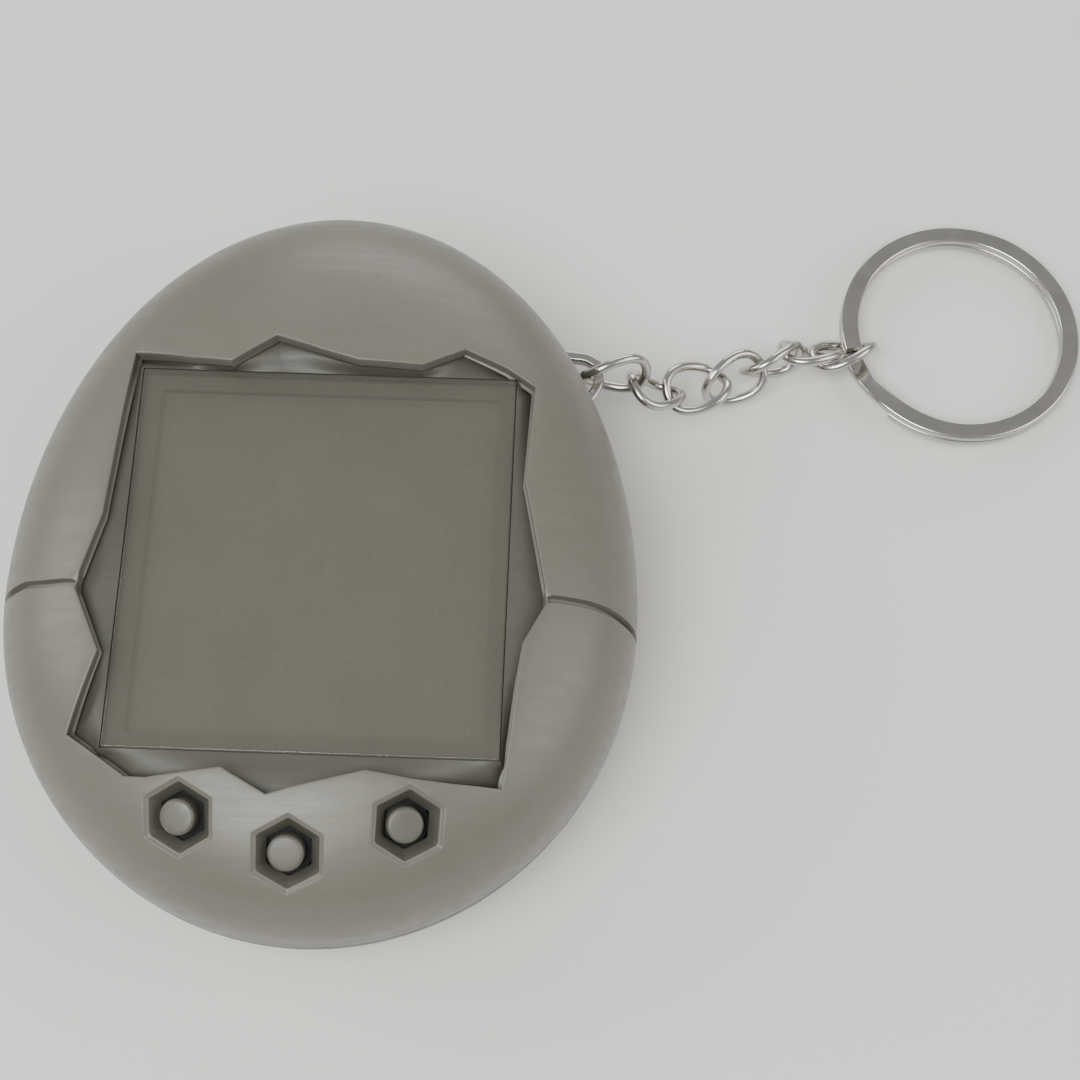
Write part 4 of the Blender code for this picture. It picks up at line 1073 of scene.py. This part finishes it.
def reach_of(outline, angle):
    """Distance from the origin to an outline in the direction of an angle."""
    ray = Vector(polar(1.0, angle))
    best = 0.0
    for i in range(len(outline)):
        start = Vector(outline[i - 1])
        side = Vector(outline[i]) - start
        cross = ray.x * side.y - ray.y * side.x
        if abs(cross) < 1e-9:
            continue
        distance = (start.x * side.y - start.y * side.x) / cross
        place = (start.x * ray.y - start.y * ray.x) / cross
        if distance > 0.0 and -1e-6 <= place <= 1.0 + 1e-6:
            best = max(best, distance)
    return best


def under_front(x, y):
    """Height of the panel where it passes under the front shell."""
    ratio = math.hypot(x / (HALF_WIDTH - FRONT_WALL), (y - EGG_CENTRE_Y) / (plan_length(y) - FRONT_WALL))
    rise = (FRONT_RISE - FRONT_WALL) * (1.0 - min(ratio, 1.0) ** FRONT_POWER) ** (1.0 / FRONT_POWER)
    return RIM_Z + rise - PANEL_GAP


def make_window_panel():
    half_x = SCREEN_WIDTH / 2.0 + LENS_GAP
    half_y = SCREEN_HEIGHT / 2.0 + LENS_GAP
    inner = [(-half_x, half_y), (half_x, half_y), (half_x, -half_y), (-half_x, -half_y)]
    outer = offset_outline(WINDOW_OUTLINE, PANEL_LAP)
    angles = [math.atan2(y, x) for x, y in inner + WINDOW_OUTLINE + outer]
    angles += [math.tau * i / 240 - math.pi for i in range(240)]
    angles.sort()
    kept = [a for a, b in zip(angles, angles[1:] + [angles[0] + math.tau]) if b - a > 0.004]
    top = []
    shares = (0.0, 0.12, 0.25, 0.4, 0.55, 0.7, 0.85, 1.0)
    for share in shares:
        ring = []
        for angle in kept:
            near = reach_of(inner, angle)
            reach = near + (reach_of(WINDOW_OUTLINE, angle) - near) * share
            x, y = polar(reach, angle)
            blend = 0.35 * share + 0.65 * smooth(share)
            ring.append((x, y, SCREEN_Z + (under_front(x, y) - SCREEN_Z) * blend))
        top.append(ring)
    rim = [polar(reach_of(outer, angle), angle) for angle in kept]
    top.append([(x, y, under_front(x, y)) for x, y in rim])
    low = [[(x, y, z - PANEL_THICK) for x, y, z in top[k]] for k in (-1, 4, 0)]
    bm = loft(top + low, closed=True)
    # The panel takes the darker grey, which is painted shade in its recess.
    new_piece("window_panel", bm, PAINTED_SHADE_PANEL, "case", 32.0)


def rectangle(half_x, half_y, radius, steps=5):
    """A clockwise rectangle with round corners."""
    points = []
    for sx, sy, first in ((1, 1, math.pi / 2), (1, -1, 0.0), (-1, -1, -math.pi / 2), (-1, 1, math.pi)):
        for i in range(steps + 1):
            angle = first - math.pi / 2 * i / steps
            points.append((sx * (half_x - radius) + radius * math.cos(angle),
                           sy * (half_y - radius) + radius * math.sin(angle)))
    return points


def rounded_slab(half_x, half_y, low, high, edge, corner):
    """A flat slab with a rounded top edge and a smaller one below."""
    rings = []
    for inset, z in ((edge * 0.5, low), (0.0, low + edge * 0.5)):
        rings.append(level(rectangle(half_x - inset, half_y - inset, corner), z))
    for step in range(5):
        angle = math.pi / 2.0 * step / 4
        inset = edge * (1.0 - math.cos(angle))
        z = high - edge + edge * math.sin(angle)
        rings.append(level(rectangle(half_x - inset, half_y - inset, corner), z))
    return loft(rings)


BORDER_SIDE = 1.2
BORDER_TOP = 1.05
BORDER_BOTTOM = 1.35


def make_screen():
    top = SCREEN_Z + SCREEN_PROUD
    half_x = SCREEN_WIDTH / 2.0
    half_y = SCREEN_HEIGHT / 2.0
    lens = rounded_slab(half_x, half_y, top - LENS_THICK, top, 0.14, 0.15)
    new_piece("screen_lens", lens, LENS, "case", 30.0)
    z = top - LENS_THICK - 0.02
    low = z - 0.08
    centre_y = (BORDER_BOTTOM - BORDER_TOP) / 2.0
    view = rectangle(half_x - BORDER_SIDE, half_y - (BORDER_BOTTOM + BORDER_TOP) / 2.0, 0.25)
    outer = rectangle(half_x - 0.06, half_y - 0.06, 0.25)
    rings = [level(view, low, centre_y), level(outer, low), level(outer, z), level(view, z, centre_y)]
    border = loft(rings, closed=True)
    new_piece("lens_border", border, BORDER, "case", 30.0, replaces=())


make_window_panel()
make_screen()


# ---------------- keys, screws and reset plunger


def make_buttons():
    for name, (x, y) in BUTTONS.items():
        centre = FRONT.at(x, y) + Vector((CAP_SHIFT, 0.0, 0.0))
        normal = FRONT.normal(x, y)
        profile = [(1.6, -1.75), (1.64, -1.71), (1.64, -1.4), (1.6, -1.36), (CAP_RADIUS, -1.36),
                   (CAP_RADIUS, -0.52)]
        for step in range(1, 8):
            angle = math.pi / 2.0 * step / 7
            inset = CAP_EDGE * (1.0 - math.cos(angle))
            profile.append((CAP_RADIUS - inset, -0.52 + CAP_EDGE * math.sin(angle)))
        profile += [(0.7, -0.235), (0.4, -0.225), (0.12, -0.222)]
        cap = along_axis(turned(profile, 56), centre, normal)
        piece = new_piece(f"button_{name}", cap, PAINTED_SHADE_CAP, f"{name}_key", SHARP)
        # Faces more than 1 mm down take the near-black skirt colour, painted shade in the gap round the key.
        piece.data.materials.append(PAINTED_SHADE_SKIRT)
        for face in piece.data.polygons:
            depth = (face.center / MM - centre).dot(normal)
            face.material_index = 1 if depth < -1.0 else 0


def cross_head(low, height):
    """A pan head, seen from below, with a cross recess."""
    bm = bmesh.new()
    arm = 0.2
    reach = 0.85
    outline = []
    for quarter in range(4):
        turn = -math.pi / 2.0 * quarter
        for a, b in ((reach, -arm), (arm, -arm), (arm, -reach)):
            x = a * math.cos(turn) - b * math.sin(turn)
            y = a * math.sin(turn) + b * math.cos(turn)
            outline.append((x, y))
    face = add_row(bm, level(outline, low + 0.02))
    floor = add_row(bm, [(x * 0.8, y * 0.8, low + height * 0.45) for x, y in outline])
    strip(bm, [face, floor])
    bm.faces.new(floor)
    profile = [(0.9, low), (1.05, low + 0.02), (1.2, low + 0.1), (SCREW_HEAD_RADIUS, low + 0.26),
               (SCREW_HEAD_RADIUS, low + height - 0.04), (SCREW_HEAD_RADIUS - 0.04, low + height),
               (0.7, low + height)]
    rows = add_turned(bm, profile, SCREW_SIDES)
    fill_between(bm, [rows[0], face])
    return bm, rows[-1]


def make_screw(name, spot, body, low, height, tip_z):
    """A pan-head screw with a rolled thread, pointing up."""
    bm, last = cross_head(low, height)
    start = low + height + 0.25
    profile = [(0.602, start)]
    for turn in range(1, int((tip_z - 0.6 - start) / THREAD_PITCH) + 1):
        for share, radius in ((0.7, 0.6), (0.45, 0.6), (0.25, 0.7), (0.0, 0.6)):
            profile.append((radius, start + (turn - share) * THREAD_PITCH))
    rows = [last] + add_turned(bm, profile + [(0.25, tip_z)], SCREW_SIDES)
    strip(bm, rows[:2])
    bm.faces.new(rows[-1])
    bmesh.ops.translate(bm, verts=bm.verts, vec=(*spot, 0.0))
    new_piece(name, bm, STEEL, body, 35.0)


def make_small_parts():
    for index, spot in enumerate(POSTS):
        make_screw(f"case_screw_{index + 1}", spot, "case", SCREW_HEAD_Z, 0.85, 10.2)
    make_screw("battery_door_screw", (0.0, DOOR_TAB_Y), "door_fastener", 0.1, 0.55, 4.8)
    plunger = [(0.62, 0.9), (0.74, 0.93), (0.8, 1.02), (0.8, 2.6), (1.6, 2.6), (1.6, 3.2), (0.8, 3.2),
               (0.8, 8.3)]
    bm = turned(plunger, 40, RESET_XY)
    # The plunger shares the keys' darkened grey, painted shade.
    new_piece("reset_button", bm, PAINTED_SHADE_CAP, "reset_plunger", SHARP)


make_buttons()
make_small_parts()


# ---------------- lug, links and ring


def sweep(stations, section, closed):
    """A section carried along stations of a point and its two cross directions."""
    return loft([[point + side * u + up * v for u, v in section] for point, side, up in stations], closed)


def make_lug():
    line = rounded_outline(LUG_LINE, 0.28, 4)
    stations = []
    count = len(line)
    for i in range(count):
        tangent = (Vector(line[(i + 1) % count]) - Vector(line[i - 1])).normalized()
        side = Vector((-tangent.y, tangent.x, 0.0))
        stations.append((Vector((*line[i], LUG_Z)), side, Vector((0.0, 0.0, 1.0))))
    bm = sweep(stations, rectangle(LUG_BAND / 2.0, LUG_THICK / 2.0, LUG_CORNER, 4), True)
    new_piece("chain_lug", bm, NICKEL, "case", 60.0)


def link_axes(heading, climb, roll):
    heading, climb, roll = (math.radians(a) for a in (heading, climb, roll))
    reach = math.cos(climb)
    along = Vector((math.cos(heading) * reach, math.sin(heading) * reach, math.sin(climb)))
    level = Vector((0.0, 0.0, 1.0)).cross(along).normalized()
    rise = along.cross(level)
    across = level * math.cos(roll) + rise * math.sin(roll)
    return along, across, along.cross(across)


def signed_power(value, power):
    return math.copysign(abs(value) ** power, value)


def link_stations(steps):
    """Stations round a twisted oval link lying along +X, spaced evenly."""
    half_length = (LINK_LENGTH - LINK_WIRE) / 2.0
    half_width = (LINK_WIDTH - LINK_WIRE) / 2.0
    fine = []
    for i in range(LINK_FINE_STEPS):
        angle = math.tau * i / LINK_FINE_STEPS
        x = half_length * signed_power(math.cos(angle), 2.0 / LINK_ROUNDNESS)
        width = half_width * signed_power(math.sin(angle), 2.0 / LINK_ROUNDNESS)
        turn = math.radians(LINK_TWIST) / 2.0 * x / half_length
        fine.append(Vector((x, width * math.cos(turn), width * math.sin(turn))))
    lengths = [0.0]
    for i in range(LINK_FINE_STEPS):
        lengths.append(lengths[-1] + (fine[(i + 1) % LINK_FINE_STEPS] - fine[i]).length)
    points = []
    place = 0
    for k in range(steps):
        target = lengths[-1] * k / steps
        while lengths[place + 1] < target:
            place += 1
        share = (target - lengths[place]) / (lengths[place + 1] - lengths[place])
        points.append(fine[place].lerp(fine[(place + 1) % LINK_FINE_STEPS], share))
    stations = []
    for i, point in enumerate(points):
        tangent = (points[(i + 1) % steps] - points[i - 1]).normalized()
        turn = math.radians(LINK_TWIST) / 2.0 * point.x / half_length
        face = Vector((0.0, -math.sin(turn), math.cos(turn)))
        side = tangent.cross(face).normalized()
        stations.append((point, side, side.cross(tangent)))
    return stations


def make_links():
    section = circle((0.0, 0.0), LINK_DRAWN_WIRE / 2.0, 16)
    for index, (centre, heading, climb, roll) in enumerate(LINKS):
        along, across, out = link_axes(heading, climb, roll)
        turn = Matrix((along, across, out)).transposed()
        middle = Vector(centre)
        stations = [(middle + turn @ p, turn @ s, turn @ u) for p, s, u in link_stations(72)]
        name = f"chain_link_{index + 1}"
        new_piece(name, sweep(stations, section, True), NICKEL, f"link_{index + 1}")


def make_split_ring():
    half_gap = (RING_COIL + RING_COIL_GAP) / 2.0
    total = 720.0 - RING_JOG - RING_END_GAP
    section = rectangle(RING_WIDTH / 2.0, RING_COIL / 2.0, RING_CORNER)
    centre = Vector(RING_CENTRE)
    away = Vector((centre.x - LINKS[-1][0][0], centre.y - LINKS[-1][0][1], 0.0)).normalized()
    tilt = Matrix.Rotation(math.radians(RING_TILT), 3, Vector((-away.y, away.x, 0.0)))
    up = tilt @ Vector((0.0, 0.0, 1.0))
    stations = []
    for i in range(RING_STEPS + 1):
        swept = total * i / RING_STEPS
        share = smooth((swept - 360.0 + RING_JOG) / RING_JOG)
        height = half_gap * (2.0 * share - 1.0)
        angle = math.radians(RING_JOG_AT + swept)
        radial = Vector((*polar(1.0, angle), 0.0))
        stations.append((centre + tilt @ (radial * RING_RADIUS) + up * height, tilt @ radial, up))
    new_piece("split_ring", sweep(stations, section, False), NICKEL, "ring", SHARP)


make_lug()
make_links()
make_split_ring()


# ---------------- CAD pieces kept, with better finishes

LOOKS = [
    (DISPLAY, "lcd_glass"), (FOIL, "lcd_reflector"), (LAMINATE, "main_board"), (STEEL, "crystal"),
    (HOLDER, "lcd_holder key_base_left key_base_middle key_base_right"),
    (RUBBER, "zebra_strip_upper zebra_strip_lower key_dome_left key_dome_middle key_dome_right"),
    (CARBON, "key_pill_left key_pill_middle key_pill_right"), (EPOXY, "chip_blob reset_switch"),
    (CERAMIC, "capacitor_1 capacitor_2 buzzer_ceramic"), (CELL, "battery_cell"),
    (BRASS, "buzzer_disc contact_positive contact_negative"),
    (BLACK, "buzzer_wire_1"), (RED, "buzzer_wire_2"),
]
for look, nodes in LOOKS:
    for node in nodes.split():
        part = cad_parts[node]
        part.data.materials.clear()
        part.data.materials.append(look)


# ---------------- floor, light and finish


def make_camera():
    data = bpy.data.cameras.new("camera")
    data.lens = LENS_MM
    data.sensor_width = 36.0
    data.clip_start = 0.01
    camera = linked("camera", data)
    camera.location = CAMERA_AT
    camera.rotation_euler = (math.pi / 2.0 - ELEVATION, 0.0, AZIMUTH)
    bpy.context.scene.camera = camera


def make_floor():
    look = Nodes("floor_look", (0.72, 0.71, 0.69), 0.6)
    cloud = look.noise(14.0, 4.0)
    look.feed("Base Color", look.blend(cloud, (0.70, 0.69, 0.67), (0.74, 0.73, 0.71)))
    bm = bmesh.new()
    rows = add_turned(bm, [(0.02, 0.0), (0.12, 0.0), (0.5, 0.0), (1.4, 0.0)], 48)
    bm.faces.new(rows[0])
    floor = meshed("floor", bm)
    floor.data.materials.append(look.material)
    floor.location = (0.0, 0.0, CAD_BOX[0][2] - 0.00002)


def add_light(name, place, target, size, power, colour=(1.0, 1.0, 1.0)):
    data = bpy.data.lights.new(name, "AREA")
    data.shape = "RECTANGLE"
    data.size = size[0]
    data.size_y = size[1]
    data.energy = power
    data.color = colour
    light = linked(name, data)
    light.location = place
    aim = Vector(target) - Vector(place)
    light.rotation_euler = aim.to_track_quat("-Z", "Y").to_euler()


def make_lights():
    world = bpy.data.worlds.new("studio")
    world.use_nodes = True
    world.node_tree.nodes["Background"].inputs["Color"].default_value = (0.98, 0.98, 1.0, 1.0)
    world.node_tree.nodes["Background"].inputs["Strength"].default_value = 0.45
    bpy.context.scene.world = world
    target = (0.012, 0.0, 0.008)
    add_light("key_light", (-0.10, -0.17, 0.42), target, (0.26, 0.26), 2.1)
    add_light("side_light", (-0.36, 0.10, 0.24), target, (0.22, 0.22), 0.65, (1.0, 0.99, 0.96))
    add_light("fill_light", (0.36, -0.04, 0.26), target, (0.3, 0.3), 0.8, (1.0, 0.98, 0.95))
    add_light("rim_light", (0.05, 0.42, 0.16), target, (0.3, 0.12), 0.5)


make_camera()
make_floor()
make_lights()
bpy.context.view_layer.update()
